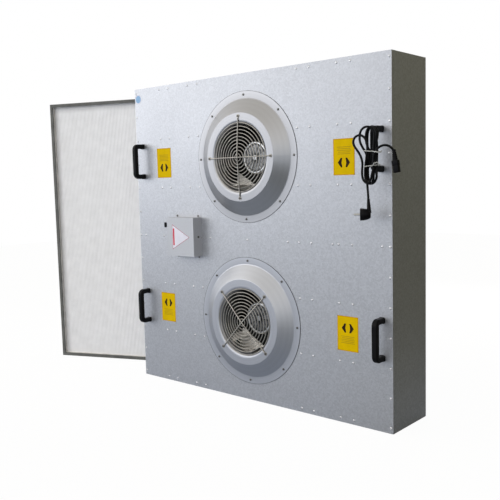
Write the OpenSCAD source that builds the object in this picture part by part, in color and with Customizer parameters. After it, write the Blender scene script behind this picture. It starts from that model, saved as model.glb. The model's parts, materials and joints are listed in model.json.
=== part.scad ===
// Fan filter unit: a square sheet-metal hood with two motorised impellers, standing on one edge,
// with its pleated filter taken off and stood against the open outlet side.
// X runs across the width, Y from the inlet side to the outlet side, Z up.
// The origin is the middle of the underside of the casing. All sizes are in millimetres.

/* [Casing] */
// Width of the casing
case_w = 1175; // [1160:5:1300]
// Height of the casing as it stands
case_h = 1175; // [1160:5:1300]
// Depth of the casing from the inlet face to the outlet face
case_d = 215; // [205:5:260]
// Thickness of the casing sheets
sheet_t = 1.5; // [1:0.25:2]
// Depth of the front panel's folded edge
panel_return = 12; // [8:1:14]
// Width of the walls' flange behind the front panel
front_flange = 20; // [16:1:24]
// Width of the walls' flange at the outlet
back_flange = 12; // [8:1:14]
// Width of the outlet frame that the filter seats on
outlet_frame_w = 30; // [28:1:34]
// Thickness of the sound lining on the walls
lining_t = 10; // [5:1:14]

/* [Panel rails] */
// Distance of the inner rails from the middle of the panel
rail_inner_x = 258; // [254:1:262]
// Distance of the outer rails from the panel's side edges
rail_inset = 170.5; // [160:0.5:180]
// Distance between the two rivet lines of a rail
rail_gauge = 51; // [48:1:54]
// Width of a rail's crown
rail_crown_w = 34; // [30:1:36]
// Height of a rail behind the panel
rail_h = 25; // [20:1:28]
// Number of rivets along each rail line
rail_rows = 7; // [5:1:9]
// Distance of the first rivet row from the panel's edge
row_margin = 14; // [12:1:16]
// Distance of the mid divider's end rivets from the panel's side edges
divider_margin = 35.5; // [32:0.5:60]
// Depth of the mid divider
divider_d = 125; // [90:5:150]

/* [Inlet cones] */
// Distance between the two fan axes
fan_pitch = 587.5; // [560:2.5:600]
// Outer diameter of the cone's flange
cone_flange_d = 464; // [456:1:470]
// Diameter of the cone where it leaves the flange
cone_base_d = 408; // [400:1:414]
// Outer diameter of the flat lip
cone_lip_d = 313; // [306:1:318]
// Diameter where the lip turns into the bell mouth
cone_mouth_d = 262; // [258:1:264]
// Height of the lip in front of the panel
cone_rise = 33; // [30:1:40]
// Radius of the bell mouth
bell_r = 16; // [14:1:18]
// Thickness of the spun sheet
spun_t = 1.5; // [1:0.25:2]
// Distance from the throat's end to the panel's face
throat_stop = 6; // [4:1:8]
// Pitch circle of the flange screws
cone_screw_pcd = 438; // [434:1:442]
// Number of flange screws
cone_screw_count = 8; // [6:1:12]

/* [Wire guards] */
// Gap between the outermost ring and the bell mouth's edge
guard_gap = 11; // [10:0.5:14]
// Diameter of the innermost ring
guard_eye_d = 26; // [20:1:40]
// Number of rings
guard_rings = 11; // [6:1:11]
// Diameter of the ring wire
ring_wire = 3; // [2:0.5:3.5]
// Diameter of the arm wire
arm_wire = 4; // [3:0.5:5]
// Height of the middle of the guard over its outermost ring
guard_dome = 8; // [5:1:14]
// Pitch circle of the guard screws on the lip
guard_pcd = 286.5; // [284:0.5:290]

/* [Impellers] */
// Outer diameter of the impeller
impeller_d = 355; // [320:1:370]
// Number of blades
blade_count = 7; // [5:1:9]
// Diameter over the blades' inner edges
blade_eye_d = 212; // [200:1:230]
// Angle that a blade sweeps back from its inner to its outer edge
blade_sweep = 52; // [40:1:60]
// Curve radius of a blade
blade_r = 120; // [100:5:180]
// Thickness of the impeller's sheets
blade_t = 2; // [1.5:0.5:3]
// Gap between the throat and the impeller's ring
throat_gap = 3.5; // [2:0.5:4]
// Length of the impeller's ring over the throat
throat_lap = 8; // [4:1:10]
// Curve radius of the impeller's front disc
shroud_r = 24; // [20:1:30]
// Distance from the panel's face to the impeller's back disc
back_disc_y = 84; // [76:1:92]

/* [Motors] */
// Diameter of the rotor can
rotor_d = 119; // [110:1:124]
// Distance from the panel's face to the rotor's face
rotor_face_y = 53; // [48:1:58]
// Wall of the rotor can
rotor_wall = 4; // [3:0.5:5]
// Diameter of the motor shaft
shaft_d = 12; // [8:1:14]
// Radial clearance of the shaft in its bearings
shaft_clear = 0.05; // [0.02:0.01:0.09]
// Outer diameter of the ball bearings
bearing_d = 28; // [24:1:32]
// Width of a ball bearing
bearing_w = 8; // [6:1:10]
// Thickness of the magnet ring
magnet_t = 3; // [2:0.5:4]
// Air gap between the magnets and the stator
air_gap = 0.7; // [0.5:0.1:1.5]
// Diameter of the motor's mounting flange
motor_flange_d = 150; // [144:1:156]
// Pitch circle of the motor's screws
motor_pcd = 134; // [132:1:138]
// Length of the finned housing behind the bracket
housing_l = 36; // [28:1:44]

/* [Motor brackets] */
// Height of the bracket plate
bracket_h = 180; // [170:5:220]
// Thickness of the bracket plate
bracket_t = 2.5; // [2:0.5:4]
// Distance from the panel's face to the bracket plate
bracket_y = 106; // [104:1:110]
// Depth of the bracket's folded rims
bracket_rim = 15; // [8:1:20]
// Height of the spacers over and under the fan axis
spacer_z = 62; // [55:1:75]
// Outer diameter of a spacer
spacer_d = 14; // [12:1:18]

/* [Control box] */
// Width of the box
box_w = 144; // [140:1:150]
// Height of the box
box_h = 147; // [140:1:150]
// Depth of the box in front of the panel
box_d = 44; // [40:1:60]
// Distance of the box's middle from the middle of the panel
box_x = 302; // [296:1:306]
// Height of the box's middle over the middle of the panel
box_lift = 4; // [0:0.5:12]
// Height of the base tray's tabs
tab_h = 10; // [9:1:14]

/* [Handles] */
// Overall length of a handle
handle_l = 138; // [125:1:160]
// Height of the grip's middle in front of the panel
handle_rise = 41; // [38:1:48]
// Width of the handle's section
handle_w = 20; // [16:1:22]
// Thickness of the handle's section
handle_t = 18; // [14:1:20]
// Distance of the handles from the panel's side edges
handle_inset = 37.5; // [35:0.5:46]
// Height of the handles over the fan axes
handle_lift = 4; // [0:1:10]

/* [Filter] */
// Width and height of the filter
filter_w = 1165; // [1120:5:1172]
// Thickness of the filter frame
filter_d = 69; // [60:1:90]
// Width of the frame's faces
filter_rim = 15; // [12:1:20]
// Wall of the frame's extrusion
filter_wall = 2; // [1.5:0.5:3]
// Distance from one pleat to the next
pleat_pitch = 7; // [6:1:14]
// Thickness of the pleated paper
pleat_t = 0.6; // [0.4:0.1:0.9]
// Distance from the frame's faces to the pleats
pleat_inset = 9; // [6:1:14]
// Thickness of the gasket
gasket_t = 5; // [3:1:8]
// Angle between the filter and the casing's outlet face
filter_turn = 22.8; // [15:0.1:35]
// Length of the filter that stands out past the casing's edge
filter_reach = 619; // [560:1:640]

/* [Mains lead] */
// Diameter of the cord
cord_d = 7; // [6:0.5:8]

/* [Hidden] */

$fn = 64;
fit = 0.1;            // clearance between two rigid pieces that fit into each other
seat = 0.3;           // gap where a loose piece only leans on another
cut = 1;              // how far a cutting shape runs past a face
galvanised = [0.78, 0.79, 0.82];
zinc = [0.62, 0.62, 0.62];
black_plastic = [0.05, 0.05, 0.05];
aluminium = [0.75, 0.75, 0.76];

upper_z = case_h / 2 + fan_pitch / 2;
lower_z = case_h / 2 - fan_pitch / 2;
fan_zs = [upper_z, lower_z];
rail_outer_x = case_w / 2 - rail_inset;
rail_xs = [-rail_outer_x, -rail_inner_x, rail_inner_x, rail_outer_x];
handle_x = case_w / 2 - handle_inset;
box_z = case_h / 2 + box_lift;
guard_d = cone_mouth_d - 2 * guard_gap;
guard_pitch = (guard_d - guard_eye_d) / 2 / (guard_rings - 1);

// ---------- frames and small helpers ----------

// Puts y = 0 on the inlet face, so that y is the depth behind that face.
module from_face() {
    translate([0, -case_d / 2, 0]) children();
}

// Frame of a fan: local z is the depth behind the inlet face, local x stays X.
module on_fan(z) {
    from_face() translate([0, 0, z]) rotate([-90, 0, 0]) children();
}

// Frame of something that stands out of the panel at x and z: local z points to the viewer,
// local y is up.
module on_panel(x, z) {
    from_face() translate([x, 0, z]) rotate([90, 0, 0]) children();
}

// A cylinder along the depth, from y0 to y1, at x and z of the panel.
module peg(x, z, d, y0, y1) {
    translate([x, y0, z]) rotate([-90, 0, 0]) cylinder(d = d, h = y1 - y0);
}

module around(count, r, start = 0) {
    for (i = [0 : count - 1])
        rotate([0, 0, start + i * 360 / count]) translate([r, 0, 0]) children();
}

module block(low, high) {
    translate(low) cube(high - low);
}

// A screw or rivet along local z: the domed head is in front of z = 0, the shank behind it.
module pin_with_head(head_d, head_h, shank_d, l) {
    rotate_extrude()
        polygon([[0, -head_h], [head_d * 0.3, -head_h], [head_d / 2, -head_h * 0.35],
                 [head_d / 2, 0], [shank_d / 2, 0], [shank_d / 2, l], [0, l]]);
}

function arc_points(centre, r, from, to, steps) =
    [for (i = [0 : steps])
        let (a = from + (to - from) * i / steps)
        [centre[0] + r * cos(a), centre[1] + r * sin(a)]];

function reversed(list) = [for (i = [len(list) - 1 : -1 : 0]) list[i]];

// A square with round corners, made of exact circles.
module soft_square(size, r) {
    square([size[0] - 2 * r, size[1]], center = true);
    square([size[0], size[1] - 2 * r], center = true);
    for (x = [-1, 1], y = [-1, 1])
        translate([x * (size[0] / 2 - r), y * (size[1] / 2 - r)]) circle(r = r, $fn = 32);
}

// ---------- tubes swept along a route ----------

function unit(v) = v / norm(v);
function route_dir(p, i) =
    i == 0 ? unit(p[1] - p[0])
    : i == len(p) - 1 ? unit(p[i] - p[i - 1])
    : unit(unit(p[i + 1] - p[i]) + unit(p[i] - p[i - 1]));
function side_of(dir) = abs(dir[1]) > 0.9 ? [1, 0, 0] : [0, 1, 0];
function ring_at(p, dir, r, sides) =
    let (u = unit(cross(side_of(dir), dir)), v = cross(dir, u))
    [for (k = [0 : sides - 1]) p + r * (cos(360 * k / sides) * u + sin(360 * k / sides) * v)];

module tube(route, d, sides = 8) {
    count = len(route);
    rings = [for (i = [0 : count - 1]) each ring_at(route[i], route_dir(route, i), d / 2, sides)];
    skin = [for (i = [0 : count - 2], k = [0 : sides - 1])
        let (a = i * sides + k, b = i * sides + (k + 1) % sides)
        [a, a + sides, b + sides, b]];
    cap_start = [for (k = [0 : sides - 1]) k];
    cap_end = [for (k = [sides - 1 : -1 : 0]) (count - 1) * sides + k];
    polyhedron(rings, concat(skin, [cap_start], [cap_end]));
}

// ---------- casing ----------

rail_foot_w = rail_gauge + 16;
row_pitch = (case_h - 2 * row_margin) / (rail_rows - 1);
row_zs = [for (i = [0 : rail_rows - 1]) row_margin + i * row_pitch];
rail_rivets = [for (x = rail_xs, side = [-1, 1], z = row_zs) [x + side * rail_gauge / 2, z]];
divider_z = case_h / 2;
divider_pitch = (case_w / 2 - divider_margin) / 3;
divider_rivets = [for (i = [-3 : 3]) [i * divider_pitch, divider_z]];
edge_inset = 8;
edge_margin = 18;
edge_count = 13;
edge_pitch = (case_h - 2 * edge_margin) / (edge_count - 1);
edge_rivets = [for (side = [-1, 1], i = [0 : edge_count - 1])
    [side * (case_w / 2 - edge_inset), edge_margin + i * edge_pitch]];
rivets = concat(rail_rivets, divider_rivets, edge_rivets);
rivet_d = 4;
rivet_head_d = 8;
rivet_head_h = 1.2;
rivet_l = 5;

cone_screw_d = 4;
cone_screw_at = [for (z = fan_zs, i = [0 : cone_screw_count - 1])
    let (a = i * 360 / cone_screw_count)
    [cone_screw_pcd / 2 * sin(a), z + cone_screw_pcd / 2 * cos(a)]];
panel_opening_d = cone_base_d - 10;

handle_screw_d = 6;
handle_leg = handle_l / 2 - handle_t / 2;
handle_screw_head_d = 12;
handle_screw_grip = 18;
handle_at = [for (x = [-handle_x, handle_x], z = fan_zs) [x, z + handle_lift]];
handle_screw_at = [for (at = handle_at, side = [-1, 1]) [at[0], at[1] + side * handle_leg]];

grommet_at = [-box_x - 30, box_z + 38];
grommet_d = 36;
plug_at = [-rail_outer_x - 14, divider_z + 44.5];
plug_size = [12, 20];

module front_panel() {
    color(galvanised) from_face() difference() {
        block([-case_w / 2, 0, 0], [case_w / 2, panel_return, case_h]);
        block([-case_w / 2 + sheet_t, sheet_t, sheet_t],
              [case_w / 2 - sheet_t, panel_return + cut, case_h - sheet_t]);
        for (z = fan_zs) peg(0, z, panel_opening_d, -cut, sheet_t + cut);
        for (at = rivets) peg(at[0], at[1], rivet_d + 2 * fit, -cut, sheet_t + cut);
        for (at = cone_screw_at) peg(at[0], at[1], cone_screw_d + 2 * fit, -cut, sheet_t + cut);
        for (at = handle_screw_at)
            peg(at[0], at[1], handle_screw_d + 2 * fit, -cut, sheet_t + cut);
        peg(grommet_at[0], grommet_at[1], grommet_d, -cut, sheet_t + cut);
        for (at = box_base_screw_at) peg(at[0], at[1], box_screw_d + 2 * fit, -cut, sheet_t + cut);
        translate([plug_at[0], sheet_t / 2, plug_at[1]])
            cube([plug_size[0] - 3, sheet_t + 2 * cut, plug_size[1] - 3], center = true);
    }
}

fold_gap = 0.5;
joggle_lap = panel_return + 2;

// Section of a folded wall at the casing's edge: x runs inwards, y is the depth.
module wall_web() {
    inset = panel_return + fold_gap;
    translate([0, inset]) square([sheet_t, case_d - 2 * inset]);
}

module wall_joggles() {
    lap = joggle_lap;
    translate([sheet_t, sheet_t]) square([sheet_t, lap - sheet_t]);
    translate([sheet_t, case_d - lap]) square([sheet_t, lap - sheet_t]);
}

module wall_flanges() {
    translate([sheet_t, sheet_t]) square([front_flange - sheet_t, sheet_t]);
    translate([sheet_t, case_d - 2 * sheet_t]) square([back_flange - sheet_t, sheet_t]);
}

module flange_rivet_holes(side) {
    for (at = rivets)
        if (side * at[0] > case_w / 2 - front_flange)
            peg(at[0], at[1], rivet_d + 2 * fit, 0, 3 * sheet_t);
}

module side_wall() {
    from_face() difference() {
        translate([-case_w / 2, 0, 0]) {
            linear_extrude(case_h) wall_web();
            translate([0, 0, 2 * sheet_t + fit]) linear_extrude(case_h - 4 * sheet_t - 2 * fit) {
                wall_joggles();
                wall_flanges();
            }
        }
        flange_rivet_holes(-1);
    }
}

module left_wall() {
    color(galvanised) side_wall();
}

module right_wall() {
    color(galvanised) mirror([1, 0, 0]) side_wall();
}

// The top and bottom walls fit between the side walls.
module cross_wall(at_top) {
    web_l = case_w - 2 * sheet_t - 2 * fit;
    joggle_l = case_w - 4 * sheet_t - 2 * fit;
    front_l = case_w - 2 * front_flange - 2 * fit;
    back_l = case_w - 2 * back_flange - 2 * fit;
    base = at_top ? case_h : 0;
    dir = at_top ? -1 : 1;
    from_face() difference() {
        translate([0, 0, base]) mirror([0, 0, at_top ? 1 : 0]) {
            block([-web_l / 2, panel_return + fold_gap, 0],
                  [web_l / 2, case_d - panel_return - fold_gap, sheet_t]);
            block([-joggle_l / 2, sheet_t, sheet_t], [joggle_l / 2, joggle_lap, 2 * sheet_t]);
            block([-joggle_l / 2, case_d - joggle_lap, sheet_t],
                  [joggle_l / 2, case_d - sheet_t, 2 * sheet_t]);
            block([-front_l / 2, sheet_t, sheet_t], [front_l / 2, 2 * sheet_t, front_flange]);
            block([-back_l / 2, case_d - 2 * sheet_t, sheet_t],
                  [back_l / 2, case_d - sheet_t, back_flange]);
        }
        for (at = rail_rivets)
            if (abs(at[1] - base) < front_flange)
                peg(at[0], at[1], rivet_d + 2 * fit, 0, 3 * sheet_t);
    }
}

module top_wall() {
    color(galvanised) cross_wall(true);
}

module bottom_wall() {
    color(galvanised) cross_wall(false);
}

// A rectangular ring in the plane of the outlet, from one inset to another.
module ring_block(w, h, outer, inner, y0, y1) {
    difference() {
        block([-w / 2 + outer, y0, outer], [w / 2 - outer, y1, h - outer]);
        block([-w / 2 + inner, y0 - cut, inner], [w / 2 - inner, y1 + cut, h - inner]);
    }
}

clamp_inset = 20;
clamp_hole_d = 6.6;
clamp_at = [for (x = [-1, 1], z = [clamp_inset, case_h - clamp_inset])
    [x * (case_w / 2 - clamp_inset), z]];

module outlet_frame() {
    color(galvanised) from_face() difference() {
        ring_block(case_w, case_h, 0, outlet_frame_w, case_d - panel_return, case_d);
        ring_block(case_w, case_h, sheet_t, outlet_frame_w - sheet_t,
                   case_d - panel_return - cut, case_d - sheet_t);
        for (at = clamp_at) peg(at[0], at[1], clamp_hole_d, case_d - 2 * sheet_t, case_d + cut);
    }
}

// Four foam boards glued to the inside of the walls.
module wall_lining() {
    y0 = joggle_lap + 2;
    y1 = case_d - joggle_lap - 2;
    side_h = case_h - 2 * (front_flange + cut);
    color([0.3, 0.3, 0.31]) from_face() {
        for (side = [-1, 1])
            translate([side * (case_w / 2 - sheet_t - lining_t / 2), (y0 + y1) / 2, case_h / 2])
                cube([lining_t, y1 - y0, side_h], center = true);
        cross_l = case_w - 2 * (sheet_t + lining_t + cut);
        for (z = [sheet_t + lining_t / 2, case_h - sheet_t - lining_t / 2])
            translate([0, (y0 + y1) / 2, z]) cube([cross_l, y1 - y0, lining_t], center = true);
    }
}

// Section of a hat rail: x across the rail, y its depth behind the panel.
module rail_section() {
    for (side = [-1, 1]) {
        translate([side > 0 ? rail_crown_w / 2 - sheet_t : -rail_foot_w / 2, 0])
            square([rail_foot_w / 2 - rail_crown_w / 2 + sheet_t, sheet_t]);
        translate([side > 0 ? rail_crown_w / 2 - sheet_t : -rail_crown_w / 2, 0])
            square([sheet_t, rail_h]);
    }
    translate([-rail_crown_w / 2, rail_h - sheet_t]) square([rail_crown_w, sheet_t]);
}

rail_crown_y = sheet_t + rail_h;
bracket_screw_d = 6;
spacer_at = [for (z = fan_zs, x = [-rail_inner_x, rail_inner_x], side = [-1, 1])
    [x, z + side * spacer_z]];

module panel_rails() {
    clear_end = front_flange + cut;
    color(galvanised) from_face() difference() {
        for (x = rail_xs) translate([x, sheet_t, clear_end])
            linear_extrude(case_h - 2 * clear_end) rail_section();
        for (at = rail_rivets) peg(at[0], at[1], rivet_d + 2 * fit, 0, 3 * sheet_t);
        for (at = spacer_at)
            peg(at[0], at[1], bracket_screw_d + 2 * fit, rail_crown_y - 2 * sheet_t,
                rail_crown_y + cut);
    }
}

cable_slot_x = grommet_at[0];
cable_slot_w = 26;
cable_slot_y0 = 40;
cable_slot_y1 = 66;
divider_flange_w = 23;

// Angle sheet between the two fan chambers, notched over the rails.
module mid_divider() {
    half_l = case_w / 2 - sheet_t - lining_t - cut;
    flange_half_l = case_w / 2 - front_flange - cut;
    flange_low = divider_z - divider_flange_w / 2;
    flange_high = divider_z + divider_flange_w / 2;
    notch_gap = 1;
    color(galvanised) from_face() difference() {
        union() {
            block([-flange_half_l, sheet_t, flange_low], [flange_half_l, 2 * sheet_t, flange_high]);
            block([-flange_half_l, sheet_t, flange_high - sheet_t],
                  [flange_half_l, sheet_t + divider_d, flange_high]);
            block([-half_l, 2 * sheet_t + notch_gap, flange_high - sheet_t],
                  [half_l, sheet_t + divider_d, flange_high]);
        }
        for (x = rail_xs) {
            block([x - rail_foot_w / 2 - notch_gap, 0, flange_low - cut],
                  [x + rail_foot_w / 2 + notch_gap, 2 * sheet_t + notch_gap, flange_high + cut]);
            block([x - rail_crown_w / 2 - notch_gap, 0, flange_low - cut],
                  [x + rail_crown_w / 2 + notch_gap, rail_crown_y + notch_gap, flange_high + cut]);
        }
        for (at = divider_rivets) peg(at[0], at[1], rivet_d + 2 * fit, 0, 3 * sheet_t);
        block([cable_slot_x - cable_slot_w / 2, cable_slot_y0, flange_low],
              [cable_slot_x + cable_slot_w / 2, cable_slot_y1, flange_high + cut]);
    }
}

module panel_rivets() {
    color(zinc) from_face() for (at = rivets)
        translate([at[0], 0, at[1]]) rotate([-90, 0, 0])
            pin_with_head(rivet_head_d, rivet_head_h, rivet_d, rivet_l);
}

// ---------- inlet cones and guards ----------

throat_r = cone_mouth_d / 2 - bell_r;

// Outline of the spun sheet, radius by depth: flange, cone, lip, bell mouth and throat.
module cone_outline() {
    lip_y = -cone_rise;
    bell_centre = [cone_mouth_d / 2, lip_y + bell_r];
    flange_bend = 3;
    slope = atan2(cone_rise, (cone_base_d - cone_lip_d) / 2);
    lip_bend = 4;
    outer = concat(
        [[cone_flange_d / 2, 0], [cone_flange_d / 2, -spun_t]],
        [[cone_base_d / 2 + flange_bend, -spun_t], [cone_base_d / 2, -spun_t - flange_bend * 0.3]],
        [[cone_lip_d / 2 + lip_bend * 0.5, lip_y + lip_bend * 0.5],
         [cone_lip_d / 2, lip_y + lip_bend * 0.18],
         [cone_lip_d / 2 - lip_bend * 0.5, lip_y]],
        arc_points(bell_centre, bell_r, -90, -180, 8),
        [[throat_r, -throat_stop]]);
    inner = concat(
        [[throat_r + spun_t, -throat_stop]],
        arc_points(bell_centre, bell_r - spun_t, -180, -90, 8),
        [[cone_lip_d / 2 - lip_bend * 0.5 - spun_t * 0.2, lip_y + spun_t],
         [cone_lip_d / 2 - spun_t * 0.5, lip_y + spun_t + lip_bend * 0.18],
         [cone_base_d / 2 - spun_t * 1.2, 0]]);
    polygon(concat(outer, inner));
}

guard_screw_d = 4;
guard_screw_head_d = 8;

// Angles of the guard's arms, in the fan's frame.
function arm_start(is_upper) = is_upper ? 0 : 45;

module inlet_cone(z, is_upper) {
    color([0.72, 0.72, 0.74]) on_fan(z) difference() {
        rotate_extrude($fn = 96) cone_outline();
        around(cone_screw_count, cone_screw_pcd / 2, 90)
            translate([0, 0, -spun_t - cut]) cylinder(d = cone_screw_d + 2 * fit, h = spun_t + 2 * cut);
        around(4, guard_pcd / 2, arm_start(is_upper))
            translate([0, 0, -cone_rise - cut])
                cylinder(d = guard_screw_d + 2 * fit, h = spun_t + 2 * cut);
    }
}

module inlet_cone_upper() {
    inlet_cone(upper_z, true);
}

module inlet_cone_lower() {
    inlet_cone(lower_z, false);
}

module cone_screws() {
    color(zinc) for (z = fan_zs) on_fan(z)
        around(cone_screw_count, cone_screw_pcd / 2, 90)
            translate([0, 0, -spun_t]) pin_with_head(8, 2.4, cone_screw_d, 9);
}

// Depth of the guard's rings: a shallow cone with its tip towards the viewer.
guard_foot_t = 1.5;
guard_foot_d = 13;
guard_weld = 0.6;
arm_lift = (ring_wire + arm_wire) / 2 - guard_weld;
arm_rim_y = -cone_rise - arm_wire / 2;
guard_outer_y = arm_rim_y + arm_lift;
function guard_y(r) = guard_outer_y - guard_dome * (1 - 2 * r / guard_d);

// A straight wire between two points of the plane through the fan's axis.
module wire(from, to, d) {
    l = norm(to - from);
    translate([from[0], 0, from[1]])
        rotate([0, atan2(to[0] - from[0], to[1] - from[1]), 0]) rotate([0, 0, 22.5])
            cylinder(d = d, h = l, $fn = 8);
}

module guard(z, is_upper) {
    rim_r = guard_d / 2;
    foot_r = guard_pcd / 2;
    arm_end_r = foot_r - guard_screw_head_d / 2 - fit;
    color([0.55, 0.54, 0.5]) on_fan(z) {
        for (i = [0 : guard_rings - 1])
            let (r = guard_d / 2 - i * guard_pitch)
            rotate_extrude($fn = 96) translate([r, guard_y(r)]) rotate(22.5)
                circle(d = ring_wire, $fn = 8);
        difference() {
            around(4, 0, arm_start(is_upper)) {
                wire([0, guard_y(0) - arm_lift], [rim_r, arm_rim_y], arm_wire);
                wire([rim_r - cut, arm_rim_y], [arm_end_r, arm_rim_y], arm_wire);
                translate([foot_r, 0, -cone_rise - guard_foot_t])
                    cylinder(d = guard_foot_d, h = guard_foot_t);
            }
            around(4, foot_r, arm_start(is_upper)) translate([0, 0, -cone_rise - guard_foot_t - cut])
                cylinder(d = guard_screw_d + 2 * fit, h = guard_foot_t + 2 * cut);
        }
    }
}

module guard_upper() {
    guard(upper_z, true);
}

module guard_lower() {
    guard(lower_z, false);
}

module guard_screws() {
    color(zinc) for (z = fan_zs) on_fan(z)
        around(4, guard_pcd / 2, arm_start(z == upper_z))
            translate([0, 0, -cone_rise - guard_foot_t]) pin_with_head(guard_screw_head_d, 2.6, guard_screw_d, 9);
}

// ---------- impellers ----------

ring_r = throat_r + spun_t + throat_gap;
ring_front_y = -throat_stop - throat_lap;
ring_back_y = -throat_stop + 2;
shroud_turn = 75;

// Middle line of the impeller's front disc, radius by depth.
function shroud_line(shift) =
    let (centre = [ring_r + shroud_r, ring_back_y],
         r = shroud_r - shift,
         bend = arc_points(centre, r, 180, 180 - shroud_turn, 8),
         last = bend[8],
         run = impeller_d / 2 - last[0])
    concat([[ring_r + shift, ring_front_y]], bend,
           [[impeller_d / 2, last[1] + run / tan(shroud_turn)]]);

module shroud_outline() {
    polygon(concat(shroud_line(0), reversed(shroud_line(blade_t))));
}

// Space in front of the middle of the shroud's sheet, which trims the blades.
module shroud_front() {
    line = shroud_line(blade_t / 2);
    polygon(concat(line, [[impeller_d, line[len(line) - 1][1]], [impeller_d, ring_front_y - 20],
                          [ring_r + blade_t / 2, ring_front_y - 20]]));
}

// Plan of one blade: a thin arc between the eye and the rim, swept back.
module blade_plan() {
    eye = [blade_eye_d / 2, 0];
    tip_r = impeller_d / 2 - 1;
    tip = tip_r * [cos(blade_sweep), sin(blade_sweep)];
    chord = norm(tip - eye);
    mid = (eye + tip) / 2;
    across = [tip[1] - eye[1], eye[0] - tip[0]] / chord;
    centre = mid - across * sqrt(blade_r * blade_r - chord * chord / 4);
    from = atan2(eye[1] - centre[1], eye[0] - centre[0]);
    to = atan2(tip[1] - centre[1], tip[0] - centre[0]);
    intersection() {
        difference() {
            translate(centre) circle(r = blade_r + blade_t / 2, $fn = 128);
            translate(centre) circle(r = blade_r - blade_t / 2, $fn = 128);
        }
        polygon([centre, centre + 2 * blade_r * [cos(from), sin(from)],
                 centre + 3 * blade_r * [cos((from + to) / 2), sin((from + to) / 2)],
                 centre + 2 * blade_r * [cos(to), sin(to)]]);
    }
}

rotor_slip = 0.3;
impeller_screw_pcd = rotor_d + 10;
impeller_screw_d = 4;

module impeller(z, start) {
    front_y = ring_back_y + 4;
    color([0.6, 0.6, 0.6]) on_fan(z) rotate([0, 0, start]) {
        rotate_extrude($fn = 128) shroud_outline();
        difference() {
            translate([0, 0, back_disc_y]) cylinder(d = impeller_d, h = blade_t, $fn = 128);
            translate([0, 0, back_disc_y - cut])
                cylinder(d = rotor_d + 2 * rotor_slip, h = blade_t + 2 * cut);
            around(6, impeller_screw_pcd / 2) translate([0, 0, back_disc_y - cut])
                cylinder(d = impeller_screw_d + 2 * fit, h = blade_t + 2 * cut);
        }
        difference() {
            translate([0, 0, front_y]) linear_extrude(back_disc_y - front_y + blade_t / 2)
                for (i = [0 : blade_count - 1]) rotate([0, 0, i * 360 / blade_count]) blade_plan();
            rotate_extrude($fn = 128) shroud_front();
        }
    }
}

upper_blades_at = 10;
lower_blades_at = 28;

module impeller_upper() {
    impeller(upper_z, upper_blades_at);
}

module impeller_lower() {
    impeller(lower_z, lower_blades_at);
}

// ---------- motors ----------

rotor_r = rotor_d / 2;
collar_y = back_disc_y + blade_t;
collar_r = rotor_r + 9;
rotor_floor_y = rotor_face_y + 3 + rotor_wall;
rotor_back_y = collar_y + 5;
shaft_end_y = 124;
tube_r = bearing_d / 2 + 3.5;
tube_front_y = rotor_floor_y + 5;

// Half section of the rotor can with its shaft, radius by depth.
module rotor_outline() {
    rim = 6;
    polygon(concat(
        [[0, rotor_face_y - 1], [9, rotor_face_y - 1], [11, rotor_face_y + 1],
         [11, rotor_face_y + 2.5], [30, rotor_face_y + 2.5], [31, rotor_face_y + 1.5],
         [34, rotor_face_y + 1.5], [35, rotor_face_y + 2.5], [rotor_r - rim - 5, rotor_face_y + 2.5],
         [rotor_r - rim - 2, rotor_face_y]],
        arc_points([rotor_r - rim, rotor_face_y + rim], rim, -90, 0, 6),
        [[rotor_r, collar_y], [collar_r, collar_y], [collar_r, rotor_back_y],
         [rotor_r - rotor_wall, rotor_back_y], [rotor_r - rotor_wall, rotor_floor_y],
         [12, rotor_floor_y], [12, rotor_floor_y + 3], [shaft_d / 2, rotor_floor_y + 3],
         [shaft_d / 2, shaft_end_y], [0, shaft_end_y]]));
}

module rotor(z, start) {
    color(aluminium) on_fan(z) rotate([0, 0, start]) difference() {
        rotate_extrude($fn = 96) rotor_outline();
        around(6, impeller_screw_pcd / 2) translate([0, 0, collar_y - cut])
            cylinder(d = impeller_screw_d + 2 * fit, h = 5 + 2 * cut);
        around(4, 21, 45) translate([0, 0, rotor_face_y - cut]) cylinder(d = 7, h = 5);
    }
}

module rotor_upper() {
    rotor(upper_z, upper_blades_at);
}

module rotor_lower() {
    rotor(lower_z, lower_blades_at);
}

module magnets(z) {
    color([0.25, 0.25, 0.27]) on_fan(z) difference() {
        translate([0, 0, rotor_floor_y + 4]) cylinder(r = rotor_r - rotor_wall, h = 24);
        translate([0, 0, rotor_floor_y + 3])
            cylinder(r = rotor_r - rotor_wall - magnet_t, h = 26);
    }
}

module magnets_upper() {
    magnets(upper_z);
}

module magnets_lower() {
    magnets(lower_z);
}

module impeller_screws(z, start) {
    color(zinc) on_fan(z) rotate([0, 0, start])
        around(6, impeller_screw_pcd / 2) translate([0, 0, back_disc_y])
            pin_with_head(7, 2.5, impeller_screw_d, blade_t + 5);
}

module impeller_screws_upper() {
    impeller_screws(upper_z, upper_blades_at);
}

module impeller_screws_lower() {
    impeller_screws(lower_z, lower_blades_at);
}

// Laminated stator with its wound teeth, pressed onto the bearing tube.
stator_r = rotor_r - rotor_wall - magnet_t - air_gap;
slot_count = 12;

module stator(z) {
    core_y = rotor_floor_y + 6;
    core_l = 18;
    color([0.5, 0.32, 0.16]) on_fan(z) difference() {
        union() {
            translate([0, 0, core_y]) linear_extrude(core_l) difference() {
                circle(r = stator_r);
                for (i = [0 : slot_count - 1]) rotate([0, 0, (i + 0.5) * 360 / slot_count]) {
                    translate([tube_r + 10, -1]) square([stator_r, 2]);
                    translate([tube_r + 8, -3.5]) square([stator_r - tube_r - 12, 7]);
                }
            }
            for (i = [0 : slot_count - 1]) rotate([0, 0, i * 360 / slot_count])
                translate([(tube_r + stator_r) / 2 + 1, 0, core_y + core_l / 2])
                    cube([stator_r - tube_r - 14, 8, core_l + 6], center = true);
        }
        translate([0, 0, core_y - 5]) cylinder(r = tube_r, h = core_l + 12);
    }
}

module stator_upper() {
    stator(upper_z);
}

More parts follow.
